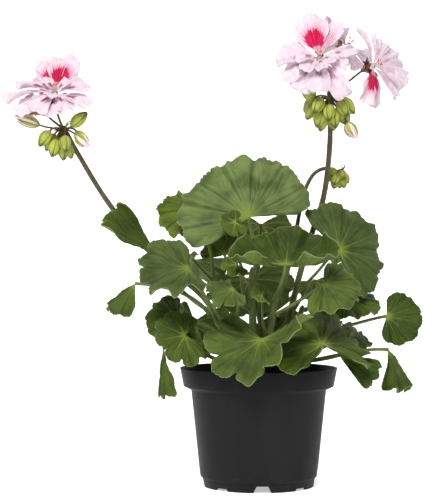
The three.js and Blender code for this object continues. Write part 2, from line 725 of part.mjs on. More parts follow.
function bloom(floret) {
  const throat = [
    [0, -0.8],
    [2.6, -0.6],
    [2.6, 1.8],
    [0, 2.4],
  ];
  const blades = floret.petals.map((petal, k) => bladeSolid(petalBlade(floret, petal, k), PETAL_THICKNESS, 2, 2));
  return join([turned(throat, 6, vec(floret.centre), vec(floret.faces)), ...blades]);
}

const HEADS = [
  {
    name: "flower_stalk_left",
    grows: ["left", 0.5, 75],
    path: [[-42, 21, 143], [-80, 16, 175], [-102, 12, 199], [-120, 9, 223], [-149, 0, 272]],
    radius: [2.4, 1.9],
    steps: 14,
    centre: [-150, 0, 274],
    buds: 10,
    start: 200,
    fall: [-80, 10],
    lean: [-0.35, -0.1, -0.25],
    reach: [8, 13],
    budLength: 15,
    budRadius: 3.5,
    strays: [
      [[-169, -2, 277], [-188, -6, 284]],
      [[-143, -5, 276], [-131, -9, 286]],
      [[-140, -4, 269], [-130, -7, 260]],
    ],
    florets: [
      {
        name: "bloom_left_front", centre: [-156, -8, 300], size: 32, petals: PETALS.left_front,
        faces: [0.02, -0.58, 0.81], up: [0.06, 0.6, 0.8],
      },
      {
        name: "bloom_left_back", centre: [-172, 16, 292], size: 26, petals: PETALS.left_back,
        faces: [-0.7, 0.25, 0.62], up: [0, 0.9, 0.3],
      },
    ],
  },
  {
    name: "flower_stalk_right",
    grows: ["right", 0.45, 95],
    path: [[34, 28, 165], [45, 36, 200], [52, 37.5, 221], [56, 19, 262], [55, 3, 297]],
    radius: [2.6, 2.1],
    steps: 12,
    centre: [55, 2, 298],
    buds: 15,
    start: 20,
    fall: [-72, 10],
    lean: [0, 0, -0.1],
    reach: [9, 15],
    budLength: 15.5,
    budRadius: 3.7,
    strays: [
      [[68, -4, 278], [75, -6, 266]],
      [[43, -3, 299], [33, -6, 303]],
    ],
    florets: [
      {
        name: "bloom_right_front", centre: [46, -12, 327], size: 33, petals: PETALS.right_front,
        faces: [-0.18, -0.82, 0.5], up: [0.02, 0.4, 1],
      },
      {
        name: "bloom_right_back", centre: [69, 22, 340], size: 27, petals: PETALS.right_back,
        faces: [0.58, 0.38, 0.72], up: [-0.6, -0.2, 0.75],
      },
      {
        name: "bloom_right_side", centre: [87, -4, 322], size: 30, petals: PETALS.right_side,
        faces: [0.7, -0.6, 0.3], up: [0, -0.3, -1],
      },
    ],
  },
  {
    name: "bud_stalk",
    grows: ["back", 0.7, -30],
    path: [[26, 35, 172], [34, 43, 212], [40, 46, 233], [47, 47, 243], [56, 46, 246], [63.5, 43, 242.5]],
    radius: [1.9, 1.5],
    steps: 14,
    centre: [64.5, 42, 241.5],
    buds: 10,
    start: 50,
    fall: [-80, 50],
    lean: [0, 0, 0],
    reach: [3.3, 4.3],
    budLength: 10,
    budRadius: 3,
    strays: [],
    florets: [],
  },
];

// Materials, as the photo shows them.
const standard = (color, roughness) => new THREE.MeshStandardMaterial({ color, roughness, metalness: 0 });
const potPlastic = standard(0x1d1d1f, 0.5);
const soilPeat = standard(0x2a1f17, 0.95);
const stemGreen = standard(0x5f6b2e, 0.6);
const leafGreen = standard(0x4c6b2f, 0.65);
const stalkGreen = standard(0x6b6a38, 0.6);
const petalPink = standard(0xf1c8dc, 0.6);

const plant = new THREE.Group();
plant.add(piece("pot", pot(), potPlastic));
plant.add(piece("soil", soil(), soilPeat));
plant.add(piece("stem", stem(), stemGreen));
for (const leafSpec of LEAVES) {
  plant.add(piece(leafSpec.name, leaf({ ...BLADE_DEFAULTS, ...leafSpec }), leafGreen));
}
for (const spec of HEADS) {
  plant.add(piece(spec.name, head(spec), stalkGreen));
  for (const floret of spec.florets) {
    plant.add(piece(floret.name, bloom(floret), petalPink));
  }
}

export default plant;
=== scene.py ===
import math

import bmesh
import bpy
import numpy as np
from mathutils import Matrix, Vector


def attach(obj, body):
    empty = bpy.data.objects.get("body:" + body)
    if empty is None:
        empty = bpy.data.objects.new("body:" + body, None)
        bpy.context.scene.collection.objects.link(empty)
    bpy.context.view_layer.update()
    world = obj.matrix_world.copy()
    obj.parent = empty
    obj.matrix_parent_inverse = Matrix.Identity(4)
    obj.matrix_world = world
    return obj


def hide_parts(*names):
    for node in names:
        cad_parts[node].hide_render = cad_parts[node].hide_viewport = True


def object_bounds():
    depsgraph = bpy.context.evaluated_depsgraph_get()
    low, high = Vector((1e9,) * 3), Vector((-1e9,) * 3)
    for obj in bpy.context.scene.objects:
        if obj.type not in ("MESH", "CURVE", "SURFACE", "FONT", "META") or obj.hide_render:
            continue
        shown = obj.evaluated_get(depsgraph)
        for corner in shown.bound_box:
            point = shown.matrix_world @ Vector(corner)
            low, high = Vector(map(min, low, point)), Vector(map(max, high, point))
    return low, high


# A zonal geranium in bloom, in a black nursery pot. Its front faces -Y and the pot stands on Z = 0.
# Sizes are in millimetres up to the last step, where MM turns them to metres.
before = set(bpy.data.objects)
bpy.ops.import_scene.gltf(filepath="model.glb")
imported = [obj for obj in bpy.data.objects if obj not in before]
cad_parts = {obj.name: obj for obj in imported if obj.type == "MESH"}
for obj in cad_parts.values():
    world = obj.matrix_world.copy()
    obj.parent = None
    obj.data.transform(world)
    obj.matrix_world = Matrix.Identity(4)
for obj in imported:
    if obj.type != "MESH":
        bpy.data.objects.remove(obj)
cad_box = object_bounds()
MM = 0.001
BODY = "root"
UP = Vector((0, 0, 1))

# The photograph's view: level, from the front, a little left of the pot.
CAMERA_AT = (-0.0324, -1.25, 0.1816)
CAMERA_LENS = 117.5

# Where each part's random draws start.
SOIL_SEED, STEM_SEED, LEAF_SEED, HEAD_SEED, BLOOM_SEED = 41, 7, 100, 300, 500


# Colours and patterns.
def colour(code):
    """An sRGB hex colour as linear red, green, blue and alpha."""
    parts = [int(code[i : i + 2], 16) / 255 for i in (1, 3, 5)]
    return (*[c / 12.92 if c <= 0.04045 else ((c + 0.055) / 1.055) ** 2.4 for c in parts], 1.0)


def add(tree, kind, inputs=None, **settings):
    """Adds a node, sets its settings, and fills its inputs with patterns, hex colours or numbers."""
    made = tree.nodes.new("ShaderNode" + kind)
    for key, value in settings.items():
        setattr(made, key, value)
    for key, value in (inputs or {}).items():
        if isinstance(value, Pattern):
            tree.links.new(value.socket, made.inputs[key])
        else:
            made.inputs[key].default_value = colour(value) if isinstance(value, str) else value
    return made


def tree_of(*values):
    """The node tree that the patterns among these values belong to."""
    return next(value.tree for value in values if isinstance(value, Pattern))


def maths(operation, *values, clamp=False):
    """One step of arithmetic on patterns and numbers."""
    inputs = dict(enumerate(values))
    return Pattern(add(tree_of(*values), "Math", inputs, operation=operation, use_clamp=clamp))


class Pattern:
    """A number, place or colour that varies over a surface. Arithmetic on it adds nodes that work it out."""

    def __init__(self, node, output=0):
        self.tree, self.socket = node.id_data, node.outputs[output]

    def __add__(self, other):
        return maths("ADD", self, other)

    def __sub__(self, other):
        return maths("SUBTRACT", self, other)

    def __rsub__(self, other):
        return maths("SUBTRACT", other, self)

    def __mul__(self, other):
        return maths("MULTIPLY", self, other)

    def __truediv__(self, other):
        return maths("DIVIDE", self, other)

    def __abs__(self):
        return maths("ABSOLUTE", self)

    def ramp(self, low, high, to_low=0.0, to_high=1.0):
        """The pattern mapped from one span to another, held at the ends, with a soft start and stop."""
        inputs = {"Value": self, "From Min": low, "From Max": high, "To Min": to_low, "To Max": to_high}
        return Pattern(add(self.tree, "MapRange", inputs, interpolation_type="SMOOTHSTEP"))


def mixed(share, first, second):
    """Two colours mixed by a pattern."""
    inputs = {0: share, 6: first, 7: second}
    return Pattern(add(tree_of(*inputs.values()), "Mix", inputs, data_type="RGBA"), 2)


def layered(body, *layers):
    """A colour with others laid over it in turn, each with its own share."""
    for share, over in layers:
        body = mixed(share, body, over)
    return body


def noise(where, scale, detail=2.0, roughness=0.5):
    """Soft random patches, from 0 to 1."""
    inputs = {"Vector": where, "Scale": scale, "Detail": detail, "Roughness": roughness}
    return Pattern(add(where.tree, "TexNoise", inputs))


def stretched(where, scale):
    """A place with its three parts scaled, so that a pattern over it comes out long or wide."""
    return Pattern(add(where.tree, "Mapping", {"Vector": where, "Scale": scale}))


def split(where):
    """The three parts of a place."""
    node = add(where.tree, "SeparateXYZ", {0: where})
    return [Pattern(node, part) for part in range(3)]


def length_of(where):
    return Pattern(add(where.tree, "VectorMath", {0: where}, operation="LENGTH"), "Value")


def object_place(tree):
    return Pattern(add(tree, "TexCoord"), "Object")


def uv_map(tree, name):
    return Pattern(add(tree, "UVMap", uv_map=name))


def held(tree, name):
    """A number that the mesh holds for its material."""
    return Pattern(add(tree, "Attribute", attribute_name=name, attribute_type="GEOMETRY"), "Fac")


def bump(height, strength, distance):
    """Relief too fine for the mesh."""
    return Pattern(add(height.tree, "Bump", {"Strength": strength, "Distance": distance, "Height": height}))


def new_material(name):
    """A material, and its empty node tree."""
    made = bpy.data.materials.new(name)
    made.use_nodes = True
    made.node_tree.nodes.clear()
    return made, made.node_tree


def surfaced(made, body, rough, relief=None, shine=0.5, sheen=None, more=None, through=None, share=0.0):
    """Gives a material its skin. Sheen is weight, roughness and tint, and through is the colour of the light
    that shines through it, mixed in by its share."""
    inputs = {"Base Color": body, "Roughness": rough, "Specular IOR Level": shine, **(more or {})}
    if relief:
        inputs["Normal"] = relief
    if sheen:
        inputs.update(zip(("Sheen Weight", "Sheen Roughness", "Sheen Tint"), sheen))
    tree = made.node_tree
    skin = Pattern(add(tree, "BsdfPrincipled", inputs))
    if through:
        glow = Pattern(add(tree, "BsdfTranslucent", {"Color": through}))
        skin = Pattern(add(tree, "MixShader", {0: share, 1: skin, 2: glow}))
    add(tree, "OutputMaterial", {"Surface": skin})
    return made


# Places of the leaf veins, in the fan's own coordinates, which the blades' relief follows too.
VEIN_FORKS = 4.2  # side veins along one main vein
VEIN_SLANT = 1.25  # how far out a side vein runs while it crosses a lobe
LOBE_ANGLE = 0.7  # radians between two main veins
MAIN_VEIN = (0.95, 0.2)  # half width of a main vein at the hub and at the margin
SIDE_VEIN = 0.055  # half width of a side vein, as a share of the space between two
NET_SIZE = 2.6  # width of one mesh of the vein net

# For each side of a leaf: its green when young and when grown, its dull patches and its veins, then how
# strongly main veins, side veins and the net show.
LEAF_SIDES = {
    "upper": ("#6c8119", "#3e5115", "#223110", "#93a25c", (0.32, 0.24, 0.07)),
    "under": ("#82933a", "#607334", "#4a5d28", "#9caa62", (0.6, 0.4, 0.16)),
}


def vein_patterns(tree):
    """Main veins, side veins and the fine net between them, each from 0 to 1, then the share out to the
    margin, millimetres on the blade, and the share of a lobe between a place and its main vein."""
    flat = uv_map(tree, "flat")
    place, out, _ = split(uv_map(tree, "fan"))
    aside = abs(maths("FRACT", place) - 0.5)
    main_off = aside * LOBE_ANGLE * length_of(flat)
    main = maths("SUBTRACT", 1.0, main_off / out.ramp(0.0, 1.0, *MAIN_VEIN), clamp=True)
    march = (out - aside * VEIN_SLANT) * VEIN_FORKS + noise(flat, 0.12, 1.0) * 0.8
    fork = abs(maths("FRACT", march) - 0.5)
    side = maths("SUBTRACT", 1.0, fork / SIDE_VEIN, clamp=True) * out.ramp(0.18, 0.4)
    mesh = {"Vector": flat, "Scale": 1 / NET_SIZE}
    cells = add(tree, "TexVoronoi", mesh, feature="DISTANCE_TO_EDGE", voronoi_dimensions="2D")
    return main, side, Pattern(cells, "Distance").ramp(0.0, 0.12, 1.0, 0.0), out, flat, aside


def leaf_material(facing):
    """Zonal geranium leaf: soft, faintly velvety skin over raised flesh, so it shines a little and never
    glints. The upper side is a mid green with paler veins and a fine pale margin; the under side is paler and
    yellower with standing veins, and light that passes through comes out yellow-green. Both sides carry
    painted shade in the creases between the lobes, their pale margin is partly a painted edge highlight, and
    the grey of their hairs is partly painted sheen."""
    fresh, grown, dull, pale, (main_shows, side_shows, net_shows) = LEAF_SIDES[facing]
    made, tree = new_material(f"geranium_leaf_{facing}_side")
    main, side, net, out, flat, aside = vein_patterns(tree)
    lines = maths("MAXIMUM", main * out.ramp(0.1, 0.7, 0.66, main_shows), side * side_shows)
    lines = maths("MAXIMUM", lines, net * net_shows)
    zone = out.ramp(0.35, 0.55) * out.ramp(0.78, 0.6)
    # Painted shade: the creases between the lobes are darkened in the colour.
    painted_crease_shade = aside.ramp(0.36, 0.49) * out.ramp(0.15, 0.4)
    body = layered(
        mixed(held(tree, "age"), fresh, grown),
        # Grey of the hairs, partly painted sheen where they catch the light.
        (held(tree, "down"), "#82945e"),
        (noise(flat, 0.05).ramp(0.4, 0.68, 0.0, 0.58), dull),
        (zone * 0.16, "#3a4b1c"),
        (lines, pale),
        (out.ramp(0.26, 0.0, 0.0, 0.66), "#8a9b32"),
        (painted_crease_shade * 0.42, "#2b3a14"),
        # Pale margin, partly a real pale edge and partly a painted highlight along the edge.
        (out.ramp(0.98, 0.998, 0.0, 0.6), "#93a268"),
    )
    pores = noise(flat, 2.2)
    relief = main * 0.9 + side * 0.55 + net * 0.22
    height = relief * (1.0 if facing == "under" else -1.0) + pores * 0.35
    return surfaced(
        made, body, pores.ramp(0.3, 0.7, 0.5, 0.64), bump(height, 0.7, 0.0005), shine=0.18,
        sheen=(0.03, 0.4, "#d9ecd6"), through=mixed(lines, "#8aa128", "#a4b455"), share=0.1,
    )


GREEN_BELOW = (0.15, 0.2)  # metres up, over which a stalk turns from fresh green to its own flush


def stalk_material(name, base, flush, share):
    """Living stalk: a smooth green skin with fine lengthwise streaks, flushed where the sun has been."""
    made, tree = new_material(name)
    place = object_place(tree)
    fibres = noise(stretched(place, (1.0, 1.0, 0.15)), 900.0)
    body = layered(
        mixed(noise(place, 70.0, 3.0).ramp(0.35, 0.65, *share), base, flush),
        (split(place)[2].ramp(*GREEN_BELOW, 0.7, 0.0), "#56682a"),
        (fibres.ramp(0.4, 0.7, 0.0, 0.2), "#8a9650"),
    )
    flesh = {"Subsurface Weight": 0.12, "Subsurface Radius": (0.6, 1.0, 0.3), "Subsurface Scale": 0.001}
    return surfaced(
        made, body, fibres.ramp(0.3, 0.7, 0.42, 0.6), bump(fibres, 0.4, 0.0003), shine=0.4, more=flesh
    )


def hair_material():
    """Plant hairs: clear, pale and fine, so that they catch light along a stalk's edge."""
    made, tree = new_material("plant_hair")
    return surfaced(made, mixed(noise(object_place(tree), 120.0), "#8a9658", "#b4bc88"), 0.4)


PETAL_EYE = (0.42, 0.19, 0.21, 0.6)  # the crimson eye: its centre, and its reach inward, outward and sideways
PETAL_VEINS = 11  # fine veins across one petal


def petal_material(name, kind):
    """Geranium petal: thin, matt and silky, nearly white with a breath of pink, with hair-fine veins that fan
    out from a white claw. A marked petal carries a crimson eye that feathers out along the veins, and a plain
    one a plum fleck near its claw. The margin and the back are a shade greyer, towards lilac."""
    made, tree = new_material(name)
    fan, flat = uv_map(tree, "fan"), uv_map(tree, "flat")
    across, out, _ = split(fan)
    off = abs(across - 0.5)
    drift = noise(flat, 0.25)
    veins = maths("SINE", drift * 4.0 + across * (2 * math.pi * PETAL_VEINS)).ramp(0.55, 1.0)
    rays = noise(stretched(fan, (24.0, 1.4, 1.0)), 1.0)
    body = layered(
        mixed(drift.ramp(0.35, 0.7), "#f1e8ed", "#e6d2dd"),
        (out.ramp(0.6, 1.0, 0.0, 0.5), "#eee3ea"),
        (off.ramp(0.3, 0.5, 0.0, 0.4), "#e9d8e4"),
        (out.ramp(0.32, 0.08, 0.0, 0.7), "#fbeeee"),
        (veins * (0.2 if kind == "back" else 0.14), "#d79dbc"),
    )
    if kind == "marked":
        fill = held(tree, "mark")
        centre, inward, outward, aside = PETAL_EYE
        beyond = (rays * 0.34 + (out - 0.17) - centre) / outward
        lengthwise = maths("MAXIMUM", beyond, (centre - out) / inward)
        far = length_of(Pattern(add(tree, "CombineXYZ", {0: lengthwise, 1: off / aside})))
        guide = veins.ramp(0.2, 0.8) * out.ramp(0.02, 0.1)
        near = guide * out.ramp(centre, centre - inward, 0.0, 0.7) * off.ramp(0.45, 0.3)
        body = layered(
            body,
            (far.ramp(2.1, 0.8) * (fill * 0.35 + 0.25), "#ef86b4"),
            (far.ramp(1.12, 0.84) * fill, mixed(rays.ramp(0.35, 0.65), "#c20a42", "#e82c64")),
            (near, "#97344f"),
            (guide * far.ramp(1.6, 0.9, 0.0, 0.9) * (fill * -0.5 + 1.1), "#a3104f"),
        )
    elif kind == "plain":
        fleck = out.ramp(0.6, 0.48) * out.ramp(0.24, 0.36) * off.ramp(0.26, 0.12) * rays.ramp(0.3, 0.46)
        streak = out.ramp(0.5, 0.2) * out.ramp(0.05, 0.2) * veins.ramp(0.5, 1.0)
        body = layered(body, (fleck * held(tree, "mark"), "#9c1150"), (streak * 0.6, "#c9487c"))
    crepe = noise(flat, 1.1, 3.0)
    return surfaced(
        made, body, crepe.ramp(0.3, 0.7, 0.5, 0.66), bump(veins * -0.6 + crepe, 0.5, 0.0004), shine=0.12,
        sheen=(0.02, 0.5, "#fff0f6"), through=mixed(0.12, body, "#f07fb2"), share=0.3,
    )


SEPAL_RIBS = 5


def sepal_material(name, base, rib, flush, flushed, dark):
    """Sepal: a thick downy scale, with a painted highlight on each rib, painted shade between the ribs, and
    painted shade along its margins and at its tip.
    """
    made, tree = new_material(name)
    across, out, _ = split(uv_map(tree, "fan"))
    ribs = maths("SINE", across * (2 * math.pi * SEPAL_RIBS))
    body = layered(
        # Painted highlight: the crests of the ribs are lighter.
        mixed(ribs.ramp(0.0, 1.0, 0.0, 0.55), base, rib),
        (noise(object_place(tree), 160.0).ramp(0.4, 0.7, *flushed), flush),
        # Painted shade along the margins and at the tip, a dark outline.
        (abs(across - 0.5).ramp(0.3, 0.5) * 0.8, dark),
        (out.ramp(0.78, 0.98, 0.0, 0.7), dark),
    )
    return surfaced(made, body, 0.55, bump(ribs, 0.5, 0.0004), shine=0.35, sheen=(0.08, 0.4, "#e7ecc8"))


def bud_petal_material():
    """Furled petals that show at a bud's tip: silky, creamy white blushed with pink towards the point, with
    painted shade along their folds.
    """
    made, tree = new_material("furled_petal")
    across, out, _ = split(uv_map(tree, "fan"))
    folds = maths("SINE", across * 31.0 + out * 9.0)
    blush = mixed(out.ramp(0.45, 1.0), "#ebdcc6", "#ebc6cd")
    # Painted shade along the folds between the furled petals.
    body = layered(blush, (folds.ramp(0.6, 1.0, 0.0, 0.6), "#b98795"))
    return surfaced(made, body, 0.5, bump(folds, 0.5, 0.0004))


def anther_material():
    """Anthers and stigma: dusty salmon to brick red, rough with pollen."""
    made, tree = new_material("pollen_tips")
    dust = noise(object_place(tree), 2500.0)
    return surfaced(made, mixed(dust, "#a8402e", "#cf7558"), 0.8, bump(dust, 0.6, 0.0002))


def pot_material():
    """Recycled black polypropylene, injection moulded: a near-black with a soft satin face, a fine moulded
    grain, faint flow bands, painted shade that darkens the rim band under the leaves, and a little dust and
    scuffing low down."""
    made, tree = new_material("moulded_black_polypropylene")
    place = object_place(tree)
    low = split(place)[2]
    flow = noise(stretched(place, (1.0, 1.0, 0.25)), 28.0, 3.0)
    scuffs = noise(place, 180.0, 4.0, 0.7)
    dusty = low.ramp(0.022, 0.0) * scuffs.ramp(0.5, 0.75)
    body = layered(
        mixed(flow.ramp(0.35, 0.7), "#1e1e1f", "#242425"),
        # Painted shade: the rim band is darker where the leaves above shade it.
        (low.ramp(0.073, 0.079, 0.0, 0.7), "#161617"),
        (dusty * 0.3, "#4a453f"),
    )
    grain = scuffs * 0.25 + noise(place, 1400.0)
    rough = flow.ramp(0.3, 0.7, 0.46, 0.54) + dusty * 0.2
    return surfaced(made, body, rough, bump(grain, 0.22, 0.0002), shine=0.07)


def soil_material():
    """Peat potting compost: dark, matt and crumbly, with fibres and a few paler bits of bark."""
    made, tree = new_material("peat_compost")
    place = object_place(tree)
    clods = noise(place, 260.0, 6.0, 0.7)
    bits = Pattern(add(tree, "TexVoronoi", {"Vector": place, "Scale": 420.0}), "Distance")
    peat = mixed(clods.ramp(0.35, 0.7), "#1d1410", "#3a2a1d")
    body = layered(peat, (bits.ramp(0.12, 0.05, 0.0, 0.5), "#5b4330"))
    return surfaced(made, body, 0.95, bump(bits * 0.5 + clods, 0.9, 0.0012), shine=0.2)


def paper_material():
    """Seamless white studio paper on a light table: matt, and glowing a little to keep shadows faint."""
    made, tree = new_material("studio_paper")
    body = mixed(noise(object_place(tree), 3.0), "#f7f7f7", "#fbfbfb")
    return surfaced(made, body, 0.9, shine=0.1, more={"Emission Color": body, "Emission Strength": 0.5})


LEAF_TOP = leaf_material("upper")
LEAF_UNDER = leaf_material("under")
PETIOLE = stalk_material("leaf_stalk_green", "#6a7d28", "#536820", (0.0, 0.8))
SHOOT = stalk_material("shoot_green", "#5a6a28", "#4a4c22", (0.0, 0.7))
PEDUNCLE = stalk_material("flower_stalk_flushed", "#484228", "#38281d", (0.15, 0.9))
PEDICEL = stalk_material("flower_pedicel_dark", "#4a3f28", "#38251b", (0.2, 0.9))
BUD_STALK = stalk_material("bud_pedicel_green", "#626a2c", "#4a4a24", (0.0, 0.7))
HAIR = hair_material()
PETAL_MARKED = petal_material("petal_with_crimson_eye", "marked")
PETAL_PLAIN = petal_material("petal_blush_pink", "plain")
PETAL_BACK = petal_material("petal_back_lilac", "back")
# Each sepal material: its base, its painted rib highlight, its flush and the flush's share, and its painted
# outline shade.
SEPAL_GREEN = sepal_material("bud_sepal_green", "#a2ab3c", "#cfd070", "#7f8c34", (0.0, 0.5), "#3a4519")
SEPAL_BROWN = sepal_material("calyx_sepal_russet", "#84452e", "#ab7850", "#5c3425", (0.1, 0.6), "#4a281c")
FURLED = bud_petal_material()
POLLEN = anther_material()
BLACK_PLASTIC = pot_material()
COMPOST = soil_material()
PAPER = paper_material()


# Modelling helpers.
def deselect():
    bpy.ops.object.select_all(action="DESELECT")


def pick(*objects):
    """Selects these objects, the last one active."""
    deselect()
    for one in objects:
        one.select_set(True)
    bpy.context.view_layer.objects.active = objects[-1]


def new_shape(operator, **settings):
    """Runs an operator that adds an object, and returns that object."""
    deselect()
    operator(**settings)
    return bpy.context.view_layer.objects.active


def ball(segments, rings):
    return new_shape(bpy.ops.mesh.primitive_uv_sphere_add, segments=segments, ring_count=rings, radius=1)


def grid_sheet(along_x, along_y):
    """A flat square from -1 to 1, divided both ways."""
    return new_shape(
        bpy.ops.mesh.primitive_grid_add, x_subdivisions=along_x, y_subdivisions=along_y, size=2
    )


def finished(piece, kind, **settings):
    """Adds a modifier and applies it."""
    pick(piece)
    modifier = piece.modifiers.new(kind, kind)
    for key, value in settings.items():
        setattr(modifier, key, value)
    bpy.ops.object.modifier_apply(modifier=modifier.name)


def points_of(piece, kind="co"):
    """The piece's points, or their normals, as an array."""
    flat = np.empty(len(piece.data.vertices) * 3)
    piece.data.vertices.foreach_get(kind, flat)
    return flat.reshape(-1, 3)


def set_points(piece, points):
    """Moves a piece's points to these places, in metres."""
    piece.data.vertices.foreach_set("co", np.asarray(points, float).ravel())
    piece.data.update()


def set_parts(piece, x, y, z):
    """Moves a piece's points to these places, in millimetres."""
    set_points(piece, np.stack([x, y, z], 1) * MM)


def placed(piece, points, at, axes):
    """Sets a piece's points, given in millimetres in a frame of its own, at their place."""
    set_points(piece, (np.asarray(points) @ np.array(axes) + np.asarray(at)) * MM)


def coloured(piece, *materials):
    for one in materials:
        piece.data.materials.append(one)
    return piece


def rounded(piece):
    """Shades all of a piece's faces smooth."""
    piece.data.polygons.foreach_set("use_smooth", [True] * len(piece.data.polygons))
    return piece


def rounded_to(piece, degrees):
    """Shades a piece smooth, with every edge sharper than this angle kept crisp."""
    pick(piece)
    bpy.ops.object.shade_smooth_by_angle(angle=math.radians(degrees))


def merged(piece, distance=1e-6):
    """Merges points that lie together."""
    shape = bmesh.new()
    shape.from_mesh(piece.data)
    bmesh.ops.remove_doubles(shape, verts=shape.verts, dist=distance)
    shape.to_mesh(piece.data)
    shape.free()


def joined(pieces):
    """Makes one piece of several; the last of them comes first in it."""
    pick(*pieces)
    bpy.ops.object.join()
    return bpy.context.view_layer.objects.active


def new_mesh(points, faces, name, material):
    """A piece from points in millimetres and the faces between them."""
    mesh = bpy.data.meshes.new(name)
    mesh.from_pydata((points * MM).tolist(), [], faces.tolist())
    made = bpy.data.objects.new(name, mesh)
    bpy.context.scene.collection.objects.link(made)
    return coloured(made, material)


def frame_along(along):
    """Two directions at right angles to a third, and that one."""
    along = Vector(along).normalized()
    side = UP.cross(along)
    if side.length < 1e-3:
        side = Vector((1, 0, 0)).cross(along)
    side.normalize()
    return side, along.cross(side), along


def anywhere(draw, count=None):
    """Random angles, or one of them."""
    return draw.uniform(0, 6.28, count)


def hand_in(piece, name, node):
    """Names a finished piece, hangs it on the plant's body and hides the part of the plant that it stands
    for.
    """
    piece.name = name
    piece.data.name = name
    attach(piece, BODY)
    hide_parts(node)


# Routes: the same curves as the plant's construction follows.
def catmull_rom(points, steps):
    """A smooth route through points, evenly dense in its own parameter."""
    path = [np.array(p, float) for p in points]
    last = len(path) - 1
    found = []
    for t in np.linspace(0, last, steps):
        i = min(int(t), last - 1)
        w = t - i
        before = path[i - 1] if i > 0 else 2 * path[0] - path[1]
        after = path[i + 2] if i + 2 <= last else 2 * path[last] - path[last - 1]
        a, b = path[i], path[i + 1]
        d0, d1, d2 = (math.sqrt(np.linalg.norm(q - p)) for p, q in ((before, a), (a, b), (b, after)))
        ta = ((a - before) / d0 - (b - before) / (d0 + d1) + (b - a) / d1) * d1
        tb = ((b - a) / d1 - (after - a) / (d1 + d2) + (after - b) / d2) * d1
        found.append(a + ta * w + (3 * (b - a) - 2 * ta - tb) * w**2 + (2 * (a - b) + ta + tb) * w**3)
    return np.array(found)


def bezier(points, steps):
    """A Bezier curve with three or four control points."""
    t = np.linspace(0, 1, steps)[:, None]
    rows = [np.array(tuple(p), float) for p in points]
    while len(rows) > 1:
        rows = [a * (1 - t) + b * t for a, b in zip(rows, rows[1:])]
    return rows[0]


def even(route, count):
    """The route again, as points at equal distances along it."""
    lengths = np.concatenate([[0], np.cumsum(np.linalg.norm(np.diff(route, axis=0), axis=1))])
    wanted = np.linspace(0, lengths[-1], count)
    return np.stack([np.interp(wanted, lengths, route[:, k]) for k in range(3)], 1)


def tube(route, radii, sides, material):
    """A round stalk: a curve through the route with a round section, turned to a mesh."""
    stalk = new_shape(bpy.ops.curve.primitive_nurbs_path_add)
    shape = stalk.data
    shape.splines.clear()
    spline = shape.splines.new("POLY")
    spline.points.add(len(route) - 1)
    flat = np.concatenate([np.asarray(route) * MM, np.ones((len(route), 1))], 1)
    spline.points.foreach_set("co", flat.ravel())
    spline.points.foreach_set("radius", np.asarray(radii, float))
    shape.dimensions = "3D"
    shape.bevel_depth = MM
    shape.bevel_resolution = sides // 4 - 1
    shape.use_fill_caps = True
    pick(stalk)
    bpy.ops.object.convert(target="MESH")
    stalk = bpy.context.view_layer.objects.active
    merged(stalk)
    return coloured(rounded(stalk), material)


def cup(profile, at, along, sides, material):
    """A small turned cup from rows of radius and height, with the fan map that its material reads."""
    made = tube([tuple(Vector(at) + along * z) for _, z in profile], [r for r, _ in profile], sides, material)
    return with_fan_map(made)


def with_fan_map(piece):
    """Names the map that a stalk-like piece has along and around it, or gives it one."""
    if not piece.data.uv_layers:
        piece.data.uv_layers.new(name="fan")
    piece.data.uv_layers[0].name = "fan"
    return piece


HAIR_WIDTH, BUD_HAIR_WIDTH = 0.045, 0.04


def hairs(places, ways, draw, length, width):
    """Short pointed hairs, three-sided and closed, standing on a surface."""
    count = len(places)
    ways = ways + draw.normal(0, 0.25, (count, 3))
    ways /= np.linalg.norm(ways, axis=1)[:, None]
    side = np.cross(ways, draw.normal(0, 1, (count, 3)))
    side /= np.linalg.norm(side, axis=1)[:, None] + 1e-9
    other = np.cross(ways, side)
    reach = length * draw.uniform(0.6, 1.2, (count, 1))
    foot = places - 0.1 * ways * reach
    corners = [foot + width * (side * math.cos(a) + other * math.sin(a)) for a in (0, 2.09, 4.19)]
    points = np.stack([*corners, places + ways * reach], 1).reshape(-1, 3)
    start = 4 * np.arange(count)[:, None, None]
    faces = (start + np.array([[0, 2, 1], [0, 1, 3], [1, 2, 3], [2, 0, 3]])).reshape(-1, 3)
    return new_mesh(points, faces, "fuzz", HAIR)


def hairs_along(route, radii, draw, per_mm, length):
    """Hairs all round a stalk."""
    steps = np.linalg.norm(np.diff(route, axis=0), axis=1)
    count = int(steps.sum() * per_mm)
    at = draw.uniform(0, len(route) - 1.001, count)
    low = at.astype(int)
    part = (at - low)[:, None]
    centre = route[low] * (1 - part) + route[low + 1] * part
    along = route[low + 1] - route[low]
    along /= np.linalg.norm(along, axis=1)[:, None]
    way = np.cross(along, draw.normal(0, 1, (count, 3)))
    way /= np.linalg.norm(way, axis=1)[:, None] + 1e-9
    thick = np.interp(at, np.arange(len(route)), radii)[:, None]
    return hairs(centre + way * thick * 0.97, way, draw, length, HAIR_WIDTH)


def ripple(x, y, z, draw, waves, height, wavelength):
    """Smooth random swells over a surface, from a few crossing sine waves."""
    total = np.zeros_like(x)
    for _ in range(waves):
        way = draw.normal(0, 1, 3)
        way *= 2 * math.pi / (wavelength * draw.uniform(0.7, 1.5)) / np.linalg.norm(way)
        total += np.sin(x * way[0] + y * way[1] + z * way[2] + draw.uniform(0, 2 * math.pi))
    return height * total / math.sqrt(waves)


# The blade that leaves and petals share, as in the plant's construction.
BLADE = {
    "sweep": (-140, 140),  # degrees from the tip to each end of the fan
    "lobes": 7,
    "notch": 0.1,  # depth of the notch between two lobes
    "corner": 0.3,  # how much the fan's ends are rounded, and how sharply
    "shoulder": 10,
    "pleat": 0.05,  # height of the pleats, one to a lobe
    "wave": 0.06,  # height, number and phase of the waves round the margin
    "waves": 3,
    "phase": 0,
    "broad": 0.04,  # how much shorter the blade is lengthwise than sideways
    "curl": 0,  # degrees that it rolls back from hub to tip
    "droop": 0,  # degrees that its sides hang
    "arch": 0.12,  # how steeply its stalk leaves the shoot
}


